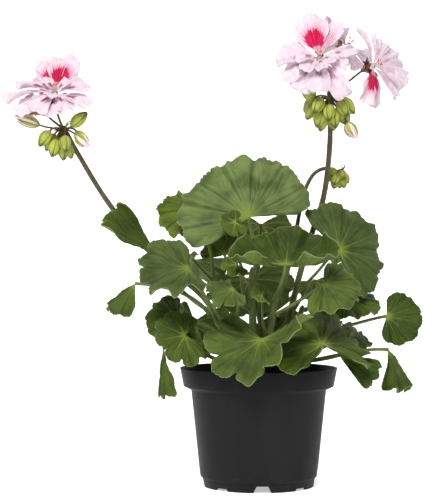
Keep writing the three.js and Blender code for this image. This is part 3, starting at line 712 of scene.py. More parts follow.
def blade_flat(blade, across, out, trim, squeeze=1.0):
    """The flat fan: angle from the tip, distance from the hub, and place within the lobes."""
    start, stop = (math.radians(a) for a in blade["sweep"])
    angle = (start + stop) / 2 + (stop - start) / 2 * across * squeeze
    place = (across + 1) / 2 * blade["lobes"]
    lobe = place % 1
    base = 1 - blade["broad"] + blade["broad"] * np.sin(angle) ** 2
    dip = 1 - blade["notch"] * np.abs(2 * lobe - 1) ** 2.2
    ends = 1 - blade["corner"] * np.abs(across) ** blade["shoulder"]
    return angle, blade["radius"] * out * base * dip * ends * trim, place


def blade_height(blade, angle, place, out):
    pleat = blade["pleat"] * np.cos(2 * math.pi * place)
    wave = blade["wave"] * np.cos(blade["waves"] * angle + blade["phase"])
    return blade["radius"] * (pleat + wave) * out**1.6


def ruffled(height, blade, along, out, draw, rows):
    """Adds crimps that grow towards the margin: rows of waves and their height as a share of the radius."""
    for waves, size in rows:
        height = height + blade["radius"] * size * np.sin(waves * along + anywhere(draw)) * out**3
    return height


def blade_bend(blade, x, y, z):
    """Rolls the flat blade over its two axes."""
    across = math.radians(blade["droop"]) / blade["radius"] or 1e-6
    depth = 1 / across + z
    side = depth * np.sin(across * y)
    height = depth * np.cos(across * y) - 1 / across
    along = math.radians(blade["curl"]) / blade["radius"] or 1e-6
    lever = 1 / along + height
    return np.stack([lever * np.sin(along * x), side, lever * np.cos(along * x) - 1 / along], 1)


def blade_axes(blade):
    tip = Vector(blade["tip"]).normalized()
    side = Vector(blade["face"]).cross(tip).normalized()
    return tip, side, tip.cross(side)


def fan_grid(across_steps, rings):
    """A square grid to be drawn into a fan, with its two coordinates: from -1 to 1 across and 0 to 1 out."""
    sheet = grid_sheet(across_steps, rings)
    grid = points_of(sheet)
    return sheet, grid[:, 0].copy(), (grid[:, 1] + 1) / 2


def lay_maps(sheet, fan, flat):
    """The fan map holds the lobe number and the share out to the margin; the flat map holds millimetres."""
    corner = np.empty(len(sheet.data.loops), int)
    sheet.data.loops.foreach_get("vertex_index", corner)
    sheet.data.uv_layers[0].name = "fan"
    sheet.data.uv_layers["fan"].uv.foreach_set("vector", np.stack(fan, 1)[corner].ravel())
    sheet.data.uv_layers.new(name="flat").uv.foreach_set("vector", np.stack(flat, 1)[corner].ravel())


def closed(sheet, thickness, two_sided=False):
    """Gives a sheet its thickness. A two-sided one keeps slot 0 above and on its rim, with slot 1 below."""
    merged(sheet, 1e-7)
    sides = {}
    if two_sided:
        sheet.data.flip_normals()
        sides = {"material_offset": 1, "material_offset_rim": 0}
    finished(sheet, "SOLIDIFY", thickness=thickness * MM, offset=0, use_rim=True, **sides)
    return rounded(sheet)


def closed_blade(blade, sheet, fan, x, y, height, materials, thickness, **numbers):
    """Rolls a drawn blade, sets it at its hub, closes it, and holds these numbers for its material."""
    lay_maps(sheet, fan, (x, y))
    placed(sheet, blade_bend(blade, x, y, height), blade["hub"], blade_axes(blade))
    closed(coloured(sheet, *materials), thickness, two_sided=True)
    for name, value in numbers.items():
        row = sheet.data.attributes.new(name, "FLOAT", "POINT")
        row.data.foreach_set("value", np.full(len(sheet.data.vertices), value))
    return sheet


def closed_scale(sheet, across, share, flat, at, axes, material, thickness):
    """The same for a sepal or bract, which has one material all round."""
    lay_maps(sheet, ((across + 1) / 2, share), (across, share))
    placed(sheet, flat, at, axes)
    return closed(coloured(sheet, material), thickness)


# The pot, turned in one piece as the mould does, then cut and rounded.
POT_HEIGHT = 90.5
RIM_RADIUS = 60.4
BAND_FOOT = 76.6
BAND_FOOT_RADIUS = 57.7
BODY_TOP = 73.9
BODY_TOP_RADIUS = 51.9
BODY_FOOT = 7.6
BODY_FOOT_RADIUS = 44.9
FOOT_RADIUS = 42.2
FOOT_WIDTH = 1.6
BOSS_RADIUS = 11
BOSS_FOOT = 0.6
WALL = 1.4
FLOOR_UNDERSIDE = 4.6
FLOOR_TOP = 6.2
POT_TURN = math.radians(2.3)
POT_STEPS = 144
NOTCH_FOOT = 13.6
NOTCH_TOP = 8.4
NOTCH_HEIGHT = 5
RECESS_WIDTH = 12
RECESS_HEIGHT = 1.8
CUT_DEPTH = 8
DRAIN_RADIUS = 4
DRAIN_REACH = 30
SCALLOP_LIFT = 9.5  # height of the shallow arches moulded above the feet
SCALLOP_DEPTH = 0.25
EDGE_ROUNDING = 0.45


def turned(profile, steps):
    """A closed solid turned about the upright axis from a profile that starts and ends on it."""
    shape = new_shape(
        bpy.ops.mesh.primitive_circle_add, vertices=len(profile), radius=0.01, fill_type="NOTHING"
    )
    set_points(shape, [(r * MM, 0, z * MM) for r, z in profile])
    mesh = bmesh.new()
    mesh.from_mesh(shape.data)
    mesh.edges.ensure_lookup_table()
    on_axis = [e for e in mesh.edges if all(v.co.x < 1e-7 for v in e.verts)]
    bmesh.ops.delete(mesh, geom=on_axis, context="EDGES")
    mesh.to_mesh(shape.data)
    mesh.free()
    pick(shape)
    bpy.ops.object.mode_set(mode="EDIT")
    bpy.ops.mesh.select_all(action="SELECT")
    bpy.ops.mesh.spin(steps=steps, angle=2 * math.pi, center=(0, 0, 0), axis=(0, 0, 1))
    bpy.ops.mesh.select_all(action="SELECT")
    bpy.ops.mesh.remove_doubles(threshold=1e-6)
    bpy.ops.mesh.normals_make_consistent(inside=False)
    bpy.ops.object.mode_set(mode="OBJECT")
    return shape


def cut(body, cutter):
    """Cuts one solid out of another and removes it."""
    finished(body, "BOOLEAN", operation="DIFFERENCE", solver="EXACT", object=cutter)
    bpy.data.objects.remove(cutter)


def foot_cutter(half_foot, half_top, height, bearing):
    """A wedge with sloping sides that opens a gap in the foot ring."""
    wedge = new_shape(bpy.ops.mesh.primitive_cube_add, size=1)
    corners = points_of(wedge)
    top = corners[:, 2] > 0
    half = np.where(top, half_top, half_foot + (half_foot - half_top) * 2 / height)
    x = 2 * corners[:, 0] * half
    y = 2 * corners[:, 1] * CUT_DEPTH / 2 - FOOT_RADIUS
    z = np.where(top, height, -2.0)
    cos, sin = math.cos(bearing), math.sin(bearing)
    set_parts(wedge, x * cos - y * sin, x * sin + y * cos, z)
    return wedge


def rod(radius, depth, sides, centre):
    """An upright cylinder to cut with."""
    made = new_shape(
        bpy.ops.mesh.primitive_cylinder_add,
        vertices=sides, radius=radius * MM, depth=depth * MM, location=[c * MM for c in centre],
    )
    bpy.ops.object.transform_apply(location=True)
    return made


def press_scallops(body):
    """Presses the shallow arches above each foot into the wall."""
    x, y, z = points_of(body).T / MM
    bearing = np.arctan2(y, x) - POT_TURN
    quarter = (bearing / (math.pi / 4)) % 1
    arch = SCALLOP_LIFT * np.sqrt(np.clip(1 - (2 * quarter - 1) ** 2, 0, 1))
    reach = np.hypot(x, y)
    inside = (z > BODY_FOOT - 2) & (z < BODY_FOOT + arch) & (reach > BODY_FOOT_RADIUS - 1)
    shrink = np.where(inside, 1 - SCALLOP_DEPTH / reach, 1)
    set_parts(body, x * shrink, y * shrink, z)


def make_pot():
    wall_rows = [
        (BODY_FOOT_RADIUS + (BODY_TOP_RADIUS - BODY_FOOT_RADIUS) * t, BODY_FOOT + (BODY_TOP - BODY_FOOT) * t)
        for t in (0.03, 0.06, 0.1, 0.2, 0.4, 0.6, 0.8)
    ]
    profile = [
        (0, BOSS_FOOT),
        (BOSS_RADIUS, BOSS_FOOT),
        (BOSS_RADIUS + 1, FLOOR_UNDERSIDE),
        (FOOT_RADIUS - FOOT_WIDTH - 0.4, FLOOR_UNDERSIDE),
        (FOOT_RADIUS - FOOT_WIDTH, 0),
        (FOOT_RADIUS, 0),
        (FOOT_RADIUS + 1, BODY_FOOT - 1),
        (BODY_FOOT_RADIUS, BODY_FOOT),
        *wall_rows,
        (BODY_TOP_RADIUS, BODY_TOP),
        (BAND_FOOT_RADIUS, BAND_FOOT),
        (RIM_RADIUS, POT_HEIGHT),
        (RIM_RADIUS - WALL, POT_HEIGHT),
        (BAND_FOOT_RADIUS - WALL, BAND_FOOT + 1),
        (BODY_TOP_RADIUS - WALL, BODY_TOP + 1),
        (BODY_FOOT_RADIUS - WALL, BODY_FOOT),
        (BODY_FOOT_RADIUS - WALL - 1, FLOOR_TOP),
        (0, FLOOR_TOP),
    ]
    body = turned(profile, POT_STEPS)
    for quarter in range(4):
        bearing = POT_TURN + quarter * math.pi / 2
        between = bearing + math.pi / 4
        drain = (DRAIN_REACH * math.cos(bearing), DRAIN_REACH * math.sin(bearing), FLOOR_TOP)
        cut(body, foot_cutter(NOTCH_FOOT / 2, NOTCH_TOP / 2, NOTCH_HEIGHT, bearing))
        cut(body, foot_cutter(RECESS_WIDTH / 2, RECESS_WIDTH / 2 - 1, RECESS_HEIGHT, between))
        cut(body, rod(DRAIN_RADIUS, FLOOR_TOP, 32, drain))
    merged(body)
    press_scallops(body)
    finished(
        body, "BEVEL", width=EDGE_ROUNDING * MM, segments=3, limit_method="ANGLE",
        angle_limit=math.radians(28), use_clamp_overlap=True,
    )
    rounded_to(coloured(body, BLACK_PLASTIC), 35)
    hand_in(body, "pot_moulded", "pot")


# The compost: a low heap with crumbs and bark on it, and a hole where the crown goes in.
SOIL_TOP = 83.5
GAP = 0.3
CROWN_RADIUS = 5.6
CROWN_FOOT = 58
CROWN_Y = 2
CROWN_CLEARANCE = 0.6
SOIL_STEPS = 160
CRUMBS = 900
SOIL_INSET = WALL + GAP + 0.2
HEAP_RADIUS = BAND_FOOT_RADIUS - SOIL_INSET
HEAP_FALL = 3.7  # how far the heap falls from its middle to the wall
HEAP_RISE = 1.2


def heap_height(reach, rise):
    return SOIL_TOP + rise - HEAP_FALL * (reach / HEAP_RADIUS) ** 2.2


def make_crumbs(draw):
    """Crumbs of peat strewn over the heap, every ninth one a flat bit of bark."""
    crumb = new_shape(bpy.ops.mesh.primitive_ico_sphere_add, subdivisions=1, radius=1)
    plain = points_of(crumb)
    corners = np.array([p.vertices[:] for p in crumb.data.polygons])
    bpy.data.objects.remove(crumb)
    points, faces = [], []
    for k in range(CRUMBS):
        far = math.sqrt(draw.uniform(0.02, 1)) * (HEAP_RADIUS - 2.5)
        around = draw.uniform(0, 2 * math.pi)
        bark = k % 9 == 0
        size = draw.uniform(0.5, 1.3) * (1.7 if bark else 1)
        stretch = np.array([1, 0.45, 0.22]) if bark else np.array([1, 0.8, 0.65])
        turn, tilt = anywhere(draw), draw.uniform(-0.5, 0.5)
        turn_by = Matrix.Rotation(turn, 3, "Z") @ Matrix.Rotation(tilt, 3, "X")
        shape = plain * (1 + 0.25 * draw.uniform(-1, 1, (len(plain), 1))) * stretch * size
        centre = [far * math.cos(around), far * math.sin(around), heap_height(far, 0.7)]
        if math.hypot(centre[0], centre[1] - CROWN_Y) < CROWN_RADIUS + 2.4:
            continue
        faces.append(corners + len(points) * len(plain))
        points.append(shape @ np.array(turn_by).T + centre)
    return new_mesh(np.concatenate(points), np.concatenate(faces), "crumbs", COMPOST)


def make_soil():
    draw = np.random.default_rng(SOIL_SEED)
    profile = [
        (0, FLOOR_TOP + GAP),
        (BODY_FOOT_RADIUS - SOIL_INSET - 1.4, FLOOR_TOP + GAP),
        (BODY_FOOT_RADIUS - SOIL_INSET - 0.2, BODY_FOOT + GAP),
        (BODY_TOP_RADIUS - SOIL_INSET, BODY_TOP + 1.4),
        (HEAP_RADIUS - 1, BAND_FOOT + 2.4),
        (HEAP_RADIUS, SOIL_TOP - 3.5),
        *[(r, heap_height(r, HEAP_RISE)) for r in np.linspace(HEAP_RADIUS - 1, 0.8, 46)],
        (0, SOIL_TOP + HEAP_RISE),
    ]
    heap = turned(profile, SOIL_STEPS)
    x, y, z = points_of(heap).T / MM
    crest = (z > SOIL_TOP - 3.2) & (np.hypot(x, y) < HEAP_RADIUS - 0.6)
    lumps = ripple(x, y, z, draw, waves=9, height=0.35, wavelength=9)
    lumps = lumps + ripple(x, y, z, draw, waves=12, height=0.28, wavelength=3.2)
    lumps += 0.35 * draw.uniform(-1, 1, len(x))
    set_parts(heap, x, y, np.where(crest, z + lumps - 0.4, z))
    depth = SOIL_TOP - CROWN_FOOT + 10
    middle = CROWN_FOOT - CROWN_CLEARANCE + depth / 2
    cut(heap, rod(CROWN_RADIUS + CROWN_CLEARANCE, depth, 40, (0, CROWN_Y, middle)))
    whole = joined([make_crumbs(draw), coloured(heap, COMPOST)])
    rounded_to(whole, 60)
    hand_in(whole, "soil_compost", "soil")


# The stem: a crown in the soil, with five shoots, each with its radius at its foot and at its tip.
SHOOTS = {
    "crown": ([[0, 2, 58], [0, 2, 74], [0, 2, 92]], (5.6, 5.6)),
    "middle": ([[0, 2, 88], [-3, 4, 108], [-5, 5, 138], [-5, 6, 168]], (4.2, 2)),
    "front": ([[0, 2, 88], [5, -4, 104], [10, -8, 126], [13, -10, 148]], (4, 2)),
    "left": ([[0, 2, 88], [-14, 3, 100], [-27, 4, 116], [-36, 5, 138]], (4, 2)),
    "right": ([[0, 2, 88], [13, 6, 100], [26, 9, 116], [35, 10, 138]], (4, 2)),
    "back": ([[0, 2, 88], [2, 16, 100], [3, 28, 116], [2, 36, 138]], (4, 2)),
}
SHOOT_ROUTES = {name: even(catmull_rom(path, 400), 200) for name, (path, _) in SHOOTS.items()}
SHOOT_STEPS = 60
BARE_STEPS = 8  # steps at the foot of a shoot that have no hairs
STEM_VOXEL = 0.55
PETIOLE_FOOT_RADIUS = 1.9
PETIOLE_TOP_RADIUS = 1.3
PETIOLE_CLEARANCE = 0.32
PETIOLE_LEAVE = 0.28


def shoot_radii(name, shares):
    foot, top = SHOOTS[name][1]
    return foot + (top - foot) * np.asarray(shares)


def on_shoot(name, share, bearing):
    """A point on a shoot's side, and the way out of it."""
    route = SHOOT_ROUTES[name]
    at = share * (len(route) - 1)
    low = min(int(at), len(route) - 2)
    centre = Vector(route[low] + (route[low + 1] - route[low]) * (at - low))
    along = Vector(route[low + 1] - route[low]).normalized()
    way = Vector((math.cos(math.radians(bearing)), math.sin(math.radians(bearing)), 0))
    way = (way - along * way.dot(along)).normalized()
    return centre + way * float(shoot_radii(name, share)), way


def make_stem(feet):
    """Shoots with a slight swelling and scar ring at each leaf's foot, grown together at the crown."""
    draw = np.random.default_rng(STEM_SEED)
    parts = []
    for name, route in SHOOT_ROUTES.items():
        shares = np.linspace(0, 1, SHOOT_STEPS)
        radii = shoot_radii(name, shares) * (0.97 + 0.02 * np.sin(shares * 37))
        for shoot, share in feet:
            if shoot == name:
                radii += 0.35 * np.exp(-(((shares - share) / 0.022) ** 2))
        radii[-3:] *= (0.92, 0.75, 0.4)
        parts.append(tube(even(route, SHOOT_STEPS), radii, 16, SHOOT))
    stem = joined(parts)
    finished(stem, "REMESH", mode="VOXEL", voxel_size=STEM_VOXEL * MM, use_smooth_shade=True)
    finished(stem, "SMOOTH", factor=0.6, iterations=4)
    swell = ripple(*points_of(stem).T / MM, draw, waves=10, height=0.12, wavelength=6)
    set_points(stem, points_of(stem) + points_of(stem, "normal") * swell[:, None] * MM)
    stem.data.materials.clear()
    fuzz = [
        hairs_along(
            even(route, SHOOT_STEPS)[BARE_STEPS:],
            shoot_radii(name, np.linspace(0.13, 1, SHOOT_STEPS - BARE_STEPS)), draw, per_mm=5, length=1.1,
        )
        for name, route in SHOOT_ROUTES.items() if name != "crown"
    ]
    hand_in(joined([*fuzz, coloured(stem, SHOOT)]), "stem_shoots", "stem")


# The leaves: the same table as the construction's, with each leaf's age, from 0, young, to 1, grown.
LEAF_THICKNESS = 0.55
TEETH_PER_LOBE = 5
STEPS_PER_TOOTH = 6
TOOTH_DEPTH = 0.042
LOBE_FILL = 0.03  # how far the margin fills the notch between two lobes, where no cleft is given
FOLD_DEPTH = 0.046  # how deep the fold between two lobes is, as a share of the radius
VEIN_DEPTH = 0.55
PUFF = 0.018  # how far the flesh puffs up between the veins, as a share of the radius
LEAF_RUFFLES = ((7, 0.034), (11, 0.03), (17, 0.026), (23, 0.018), (34, 0.01))


def leaf(name, grows, hub, radius, tip, face, age, **more):
    """One leaf: its shoot, share along it and bearing round it, its blade's hub and radius, the ways that its
    tip and its face point, its age, and what else sets it apart. Down is how grey its hairs make it, a grey
    that is partly painted sheen, and cleft how deep its margin is cut between the lobes."""
    spec = dict(grows=grows, hub=hub, radius=radius, tip=tip, face=face, age=age)
    return {**BLADE, "name": "leaf_" + name, "down": 0.0, "cleft": -LOBE_FILL, **spec, **more}


LEAVES = [
    leaf("top", ("middle", 0.9, 50), (-7.5, -4, 206), 57, (-0.08, 0.44, 0.9), (0, -0.88, 0.46), 0.7,
         sweep=(-88, 124), lobes=8, broad=0, phase=1.0, curl=10, droop=8, down=0.55),
    leaf("right_high", ("right", 0.95, 40), (62.5, 12, 181), 46, (0.05, 0.46, 0.88), (0.4, -0.82, 0.42), 1.0,
         sweep=(-166, 56), phase=2.2, curl=8, droop=22, down=0.1),
    leaf("left_high", ("left", 0.97, 80), (-48, 26, 212), 34, (-0.95, 0.1, 0.12), (0, -0.62, 0.78), 0.25,
         sweep=(-110, 110), phase=0.4, curl=15, droop=15),
    leaf("far_left", ("left", 0.95, 140), (-78, 4, 178), 53, (-0.8, 0, 0.6), (0.35, -0.7, 0.6), 0.9,
         sweep=(-22, 26), lobes=3, phase=0.9, curl=-6, droop=-110),
    leaf("left", ("left", 0.76, 262), (-53, -33, 167), 41, (-0.93, -0.3, -0.1), (-0.08, -0.58, 0.8), 0.8,
         sweep=(-108, 104), phase=2.6, curl=15, droop=-15, cleft=0.07, down=0.22),
    leaf("left_small", ("left", 0.9, 200), (-95, 4, 155), 32, (-0.62, -0.1, -0.78), (-0.68, -0.5, 0.53), 0.8,
         sweep=(-50, 50), lobes=4, curl=-10, droop=50, arch=0.42),
    leaf("left_low_back", ("left", 0.55, 240), (-61, -13, 130), 28, (-0.9, -0.1, -0.35), (-0.35, -0.8, 0.5),
         0.8, sweep=(-112, 112), phase=1.3, curl=15, droop=15),
    leaf("left_low", ("left", 0.35, 265), (-56, -39, 117), 25, (-0.85, -0.5, -0.1), (-0.45, -0.85, 0.25),
         0.75, sweep=(-150, 150), phase=0.2, curl=15, droop=20, arch=0.04, cleft=0.1),
    leaf("left_hanging", ("left", 0.12, 215), (-72, -38, 107.5), 40, (0, -0.1, -1), (-0.85, -0.5, 0), 0.8,
         sweep=(-25, 25), lobes=3, curl=8, droop=80, arch=0.03),
    leaf("front_small", ("left", 0.5, 285), (-20, -44, 152), 22, (-0.93, -0.3, -0.2), (-0.15, -0.55, 0.82),
         0.75, sweep=(-105, 105), phase=1.7, curl=15, droop=15, arch=0.25, cleft=0.1, down=0.2),
    leaf("front", ("front", 0.08, 260), (1, -47, 115), 45, (-0.35, -0.75, -0.56), (-0.38, -0.55, 0.75), 0.8,
         sweep=(-130, 132), wave=0.13, waves=2, phase=-2.6, curl=12, droop=-30, cleft=0.13, down=0.12),
    leaf("front_right", ("front", 0.18, 310), (46, -43, 111), 43, (-0.1, 0.8, 0.6), (0.1, -0.55, 0.8), 0.75,
         sweep=(-134, 150), wave=0.08, phase=0.4, curl=14, droop=38, cleft=0.08),
    leaf("right_drape", ("right", 0.1, 310), (60, -27, 101.7), 36, (0.88, -0.2, -0.42), (0.15, -0.8, 0.6),
         0.85, sweep=(-34, 32), lobes=3, phase=1.4, curl=12, droop=20),
    leaf("right_low", ("right", 0.2, 330), (100, 3, 104), 37, (0.44, -0.1, -0.9), (0.75, -0.45, 0.5), 0.8,
         sweep=(-50, 50), lobes=5, pleat=0.12, phase=1.1, droop=80, arch=0.05),
    leaf("right_round", ("right", 0.62, 340), (99.5, 10, 129.5), 30, (0.97, -0.05, -0.17), (0.1, -0.97, 0.2),
         0.9, sweep=(-98, 98), corner=0.5, shoulder=2.4, phase=0.8, curl=10, droop=20),
    leaf("right_behind", ("right", 0.7, 20), (70, 16, 144), 29, (0.95, 0.1, -0.05), (0, -0.45, 0.9), 0.7,
         phase=2.3, curl=20, droop=10),
    leaf("right", ("front", 0.75, 300), (47, -38, 156), 32, (0.92, -0.25, -0.26), (0.15, -0.62, 0.77), 0.6,
         sweep=(-105, 105), phase=1.9, curl=20, droop=15, down=0.15),
    leaf("centre", ("front", 0.93, 270), (19, -34, 170), 44, (0.1, 0.93, 0.35), (-0.05, -0.34, 0.94), 1.0,
         sweep=(-156, 150), wave=0.15, waves=5, phase=0.3, curl=-52, droop=-50),
    leaf("young_top", ("middle", 0.93, 200), (-18, -20, 202), 13, (-0.9, -0.3, -0.2), (-0.1, -0.8, 0.55), 0.7,
         lobes=5, phase=0.5, curl=10, droop=10, cleft=0.12),
    leaf("young_left", ("middle", 0.6, 230), (-17, -19, 170), 13, (-0.95, -0.2, -0.1), (-0.1, -0.7, 0.7), 0.5,
         lobes=5, phase=1.5, curl=10, droop=10, cleft=0.1),
    leaf("young_low", ("front", 0.5, 240), (2, -26, 146), 10, (-0.8, -0.5, 0.2), (-0.1, -0.8, 0.6), 0.4,
         lobes=5, phase=2.5, curl=10, droop=-40),
    leaf("back_top", ("middle", 0.85, 125), (-26, 33, 177), 21, (-0.1, 0.35, 0.93), (-0.1, -0.9, 0.35), 0.8,
         sweep=(-98, 98), lobes=5, phase=0.7, curl=20, droop=15),
    leaf("back_left", ("back", 0.9, 170), (-51, 56, 173), 38, (-0.75, 0.5, -0.3), (-0.2, 0.45, 0.87), 0.9,
         sweep=(-140, 140), phase=1.6, curl=30, droop=20),
    leaf("back_right", ("back", 0.85, 36), (66, 58, 186), 30, (0.6, 0.7, -0.3), (0.2, 0.4, 0.9), 0.8,
         sweep=(-130, 130), phase=2.4, curl=30, droop=25),
    leaf("back_middle", ("back", 0.7, 90), (-6, 54, 158), 38, (0.05, 0.62, -0.78), (0, 0.78, 0.62), 1.0,
         sweep=(-140, 108), phase=0.2, curl=30, droop=20),
    leaf("back_low_left", ("back", 0.35, 170), (-50, 48, 124), 33, (-0.35, 0.32, -0.88), (-0.3, 0.8, 0.52),
         0.9, phase=1.1, curl=25, droop=20),
    leaf("back_low", ("back", 0.3, 90), (-4, 46, 120), 29, (-0.05, 0.25, -0.97), (0, 0.96, 0.26), 0.85,
         sweep=(-125, 125), phase=2.0, curl=10, droop=20),
    leaf("back_low_right", ("back", 0.4, 10), (42, 47, 126), 28, (0.35, 0.32, -0.88), (0.25, 0.8, 0.52), 0.9,
         phase=2.8, curl=25, droop=20),
    leaf("right_back_low", ("right", 0.3, 20), (73, 21, 115.5), 19.5, (0.85, -0.1, -0.45),
         (0.35, -0.35, 0.87), 0.6, phase=0.3, curl=15, droop=10),
    leaf("right_shade", ("back", 0.5, -14), (46, 47, 156.5), 18, (0.3, 0.35, -0.88), (0.1, 0.85, 0.5), 0.95,
         sweep=(-100, 100), lobes=5, phase=0.9, curl=20, droop=20),
    leaf("back_high", ("middle", 0.8, 90), (3, 53, 201), 28, (-0.1, 0.8, -0.58), (-0.05, 0.58, 0.81), 0.8,
         phase=0.4, curl=30, droop=25),
]


def tooth_pattern(across, places, teeth, draw):
    """The scallops of the margin, from 0 in a dip to 1 on a tooth, uneven in width and height."""
    drift = 0.35 * np.sin(across * 9 + anywhere(draw)) + 0.25 * np.sin(across * 17 + anywhere(draw))
    tooth = np.abs(np.sin(math.pi * (places * teeth + drift))) ** 0.55
    tooth *= 0.75 + 0.25 * np.sin(across * 13 + anywhere(draw))
    fine = np.abs(np.sin(math.pi * (2 * places * teeth * 0.93 + 2 * drift))) ** 0.6
    return 0.84 * tooth + 0.16 * fine


def leaf_blade(blade, draw):
    """The blade: scalloped teeth, a ruffled margin, sunken veins and flesh that puffs up between them."""
    radius = blade["radius"]
    teeth = TEETH_PER_LOBE if radius > 20 else 3
    sheet, across, share = fan_grid(blade["lobes"] * teeth * STEPS_PER_TOOTH, 18 if radius > 24 else 12)
    out = share**0.85
    places = (across + 1) / 2 * blade["lobes"]
    tooth = tooth_pattern(across, places, teeth, draw)
    near_margin = np.clip((out - 0.7) / 0.3, 0, 1) ** 1.5
    boundary = np.abs(places - np.round(places))
    between = np.exp(-((boundary / 0.07) ** 2)) * (np.abs(across) < 0.97)
    trim = 1 - TOOTH_DEPTH * (1 - tooth) * near_margin - blade["cleft"] * between * out**3
    angle, reach, place = blade_flat(blade, across, out, trim)
    height = ruffled(blade_height(blade, angle, place, out), blade, angle, out, draw, LEAF_RUFFLES)
    aside = np.abs(place % 1 - 0.5)
    spacing = math.radians(blade["sweep"][1] - blade["sweep"][0]) / blade["lobes"]
    off_vein = aside * spacing * reach
    height -= VEIN_DEPTH * np.exp(-((off_vein / 1.5) ** 2)) * np.clip(out * 5, 0, 1) * (1.1 - out)
    height -= FOLD_DEPTH * radius * np.exp(-((boundary / 0.1) ** 2)) * np.clip(out * 1.6 - 0.2, 0, 1)
    march = (out - VEIN_SLANT * aside) * VEIN_FORKS
    puff = np.abs(np.sin(math.pi * march)) ** 0.7
    height += PUFF * radius * puff * np.clip(out * 3 - 0.4, 0, 1) * np.clip((1 - out) * 6, 0.15, 1)
    x, y = reach * np.cos(angle), reach * np.sin(angle)
    swell = ripple(x, y, 0 * x, draw, waves=7, height=0.018 * radius, wavelength=0.45 * radius)
    height += swell * out
    tone = np.clip(blade["age"] + draw.normal(0, 0.06), 0, 1)
    return closed_blade(
        blade, sheet, (place, out), x, y, height, (LEAF_TOP, LEAF_UNDER), LEAF_THICKNESS,
        age=tone, down=blade["down"],
    )


def petiole_route(blade, steps):
    foot, way = on_shoot(*blade["grows"])
    slim = min(1, 0.55 + blade["radius"] / 80)
    leave = way * PETIOLE_LEAVE + UP * blade["arch"]
    slant = math.sin(leave.angle(way))
    foot = foot + way * (PETIOLE_CLEARANCE + slim * PETIOLE_FOOT_RADIUS * slant)
    hub = Vector(blade["hub"])
    tip, _, face = blade_axes(blade)
    reach = (hub - foot).length
    arrive = (face * 0.75 + tip * 0.45).normalized()
    route = bezier([foot, foot + leave * reach, hub - arrive * reach * 0.3, hub + arrive * 0.1], 200)
    return even(route, steps), slim


def make_leaf(blade, order):
    draw = np.random.default_rng(LEAF_SEED + order)
    steps = 26
    route, slim = petiole_route(blade, steps)
    share = np.linspace(0, 1, steps)
    radii = slim * (PETIOLE_FOOT_RADIUS + (PETIOLE_TOP_RADIUS - PETIOLE_FOOT_RADIUS) * share)
    radii *= 0.92 + 0.1 * np.exp(-((share / 0.06) ** 2))
    radii[-2:] *= (1.1, 1.25)
    stalk = tube(route, radii, 12, PETIOLE)
    fuzz = hairs_along(route, radii, draw, per_mm=5, length=0.9)
    whole = joined([fuzz, stalk, leaf_blade(blade, draw)])
    hand_in(whole, blade["name"] + "_blade", blade["name"])


# Flower heads: the same tables as the construction's.
STALK_START = 1.7
PETAL_START = 1.3
BUD_STALK_RADIUS = 0.85
FLORET_STALK_RADIUS = 0.95
HEAD_STEPS = 70
GOLDEN_ANGLE = math.radians(137.508)
GOLDEN_SHARE = 0.618
BUD_SWELL = 1.26  # how much fuller the ribbed sepals are than the plain egg of the construction
BUD_FOOT = 0.6  # how far a bud starts below the end of its stalk
BUD_HAIRS = 60
SEPAL_LONG = 12.5
SEPAL_HALF_WIDTH = 2.6
SEPAL_START = 24  # degrees that a sepal leans out at its foot


def scale_leaf(length, width, round_at, bearing, curve, at, axes, material, thickness):
    """A pointed scale: lanceolate, keeled down its middle, and leaning out from a stalk as its curve says."""
    sheet, across, share = fan_grid(8, 12)
    outline = width * (np.sin(math.pi * np.clip(share, 0, 1) ** round_at)) ** 0.8
    outline = np.where(share > 0.55, np.minimum(outline, width * (1 - share) / 0.45 * 1.25), outline)
    out = Vector((math.cos(bearing), math.sin(bearing), 0))
    aside = Vector((-math.sin(bearing), math.cos(bearing), 0))
    reach, rise = curve(length, across, share)
    flat = np.outer(reach, out) + np.outer(across * outline, aside) + np.outer(rise, (0, 0, 1))
    return closed_scale(sheet, across, share, flat, at, axes, material, thickness)


def egg(s, fat):
    """A bud's radius along its length: full near the middle, drawn to a point."""
    return fat * np.sin(math.pi * np.clip(s, 0, 1) ** 0.8) ** 0.75


def bud_core(at, axes, length, fat, opening):
    """What fills a bud: petals furled in a twist, or the green of a bud that is still shut."""
    core = ball(15, 12)
    points = points_of(core)
    s = (points[:, 2] + 1) / 2
    around = np.arctan2(points[:, 1], points[:, 0])
    twist = around + 1.4 * s
    reach = egg(s * 0.98 + 0.01, fat * (1.0 if opening else 0.86)) * (1 + 0.05 * np.cos(5 * twist) * s)
    long = length * (1.0 if opening else 0.97)
    lay_maps(core, ((around / (2 * math.pi)) % 1, s), (around, s))
    placed(core, np.stack([reach * np.cos(twist), reach * np.sin(twist), s * long], 1), at, axes)
    return rounded(coloured(core, FURLED if opening else SEPAL_GREEN))


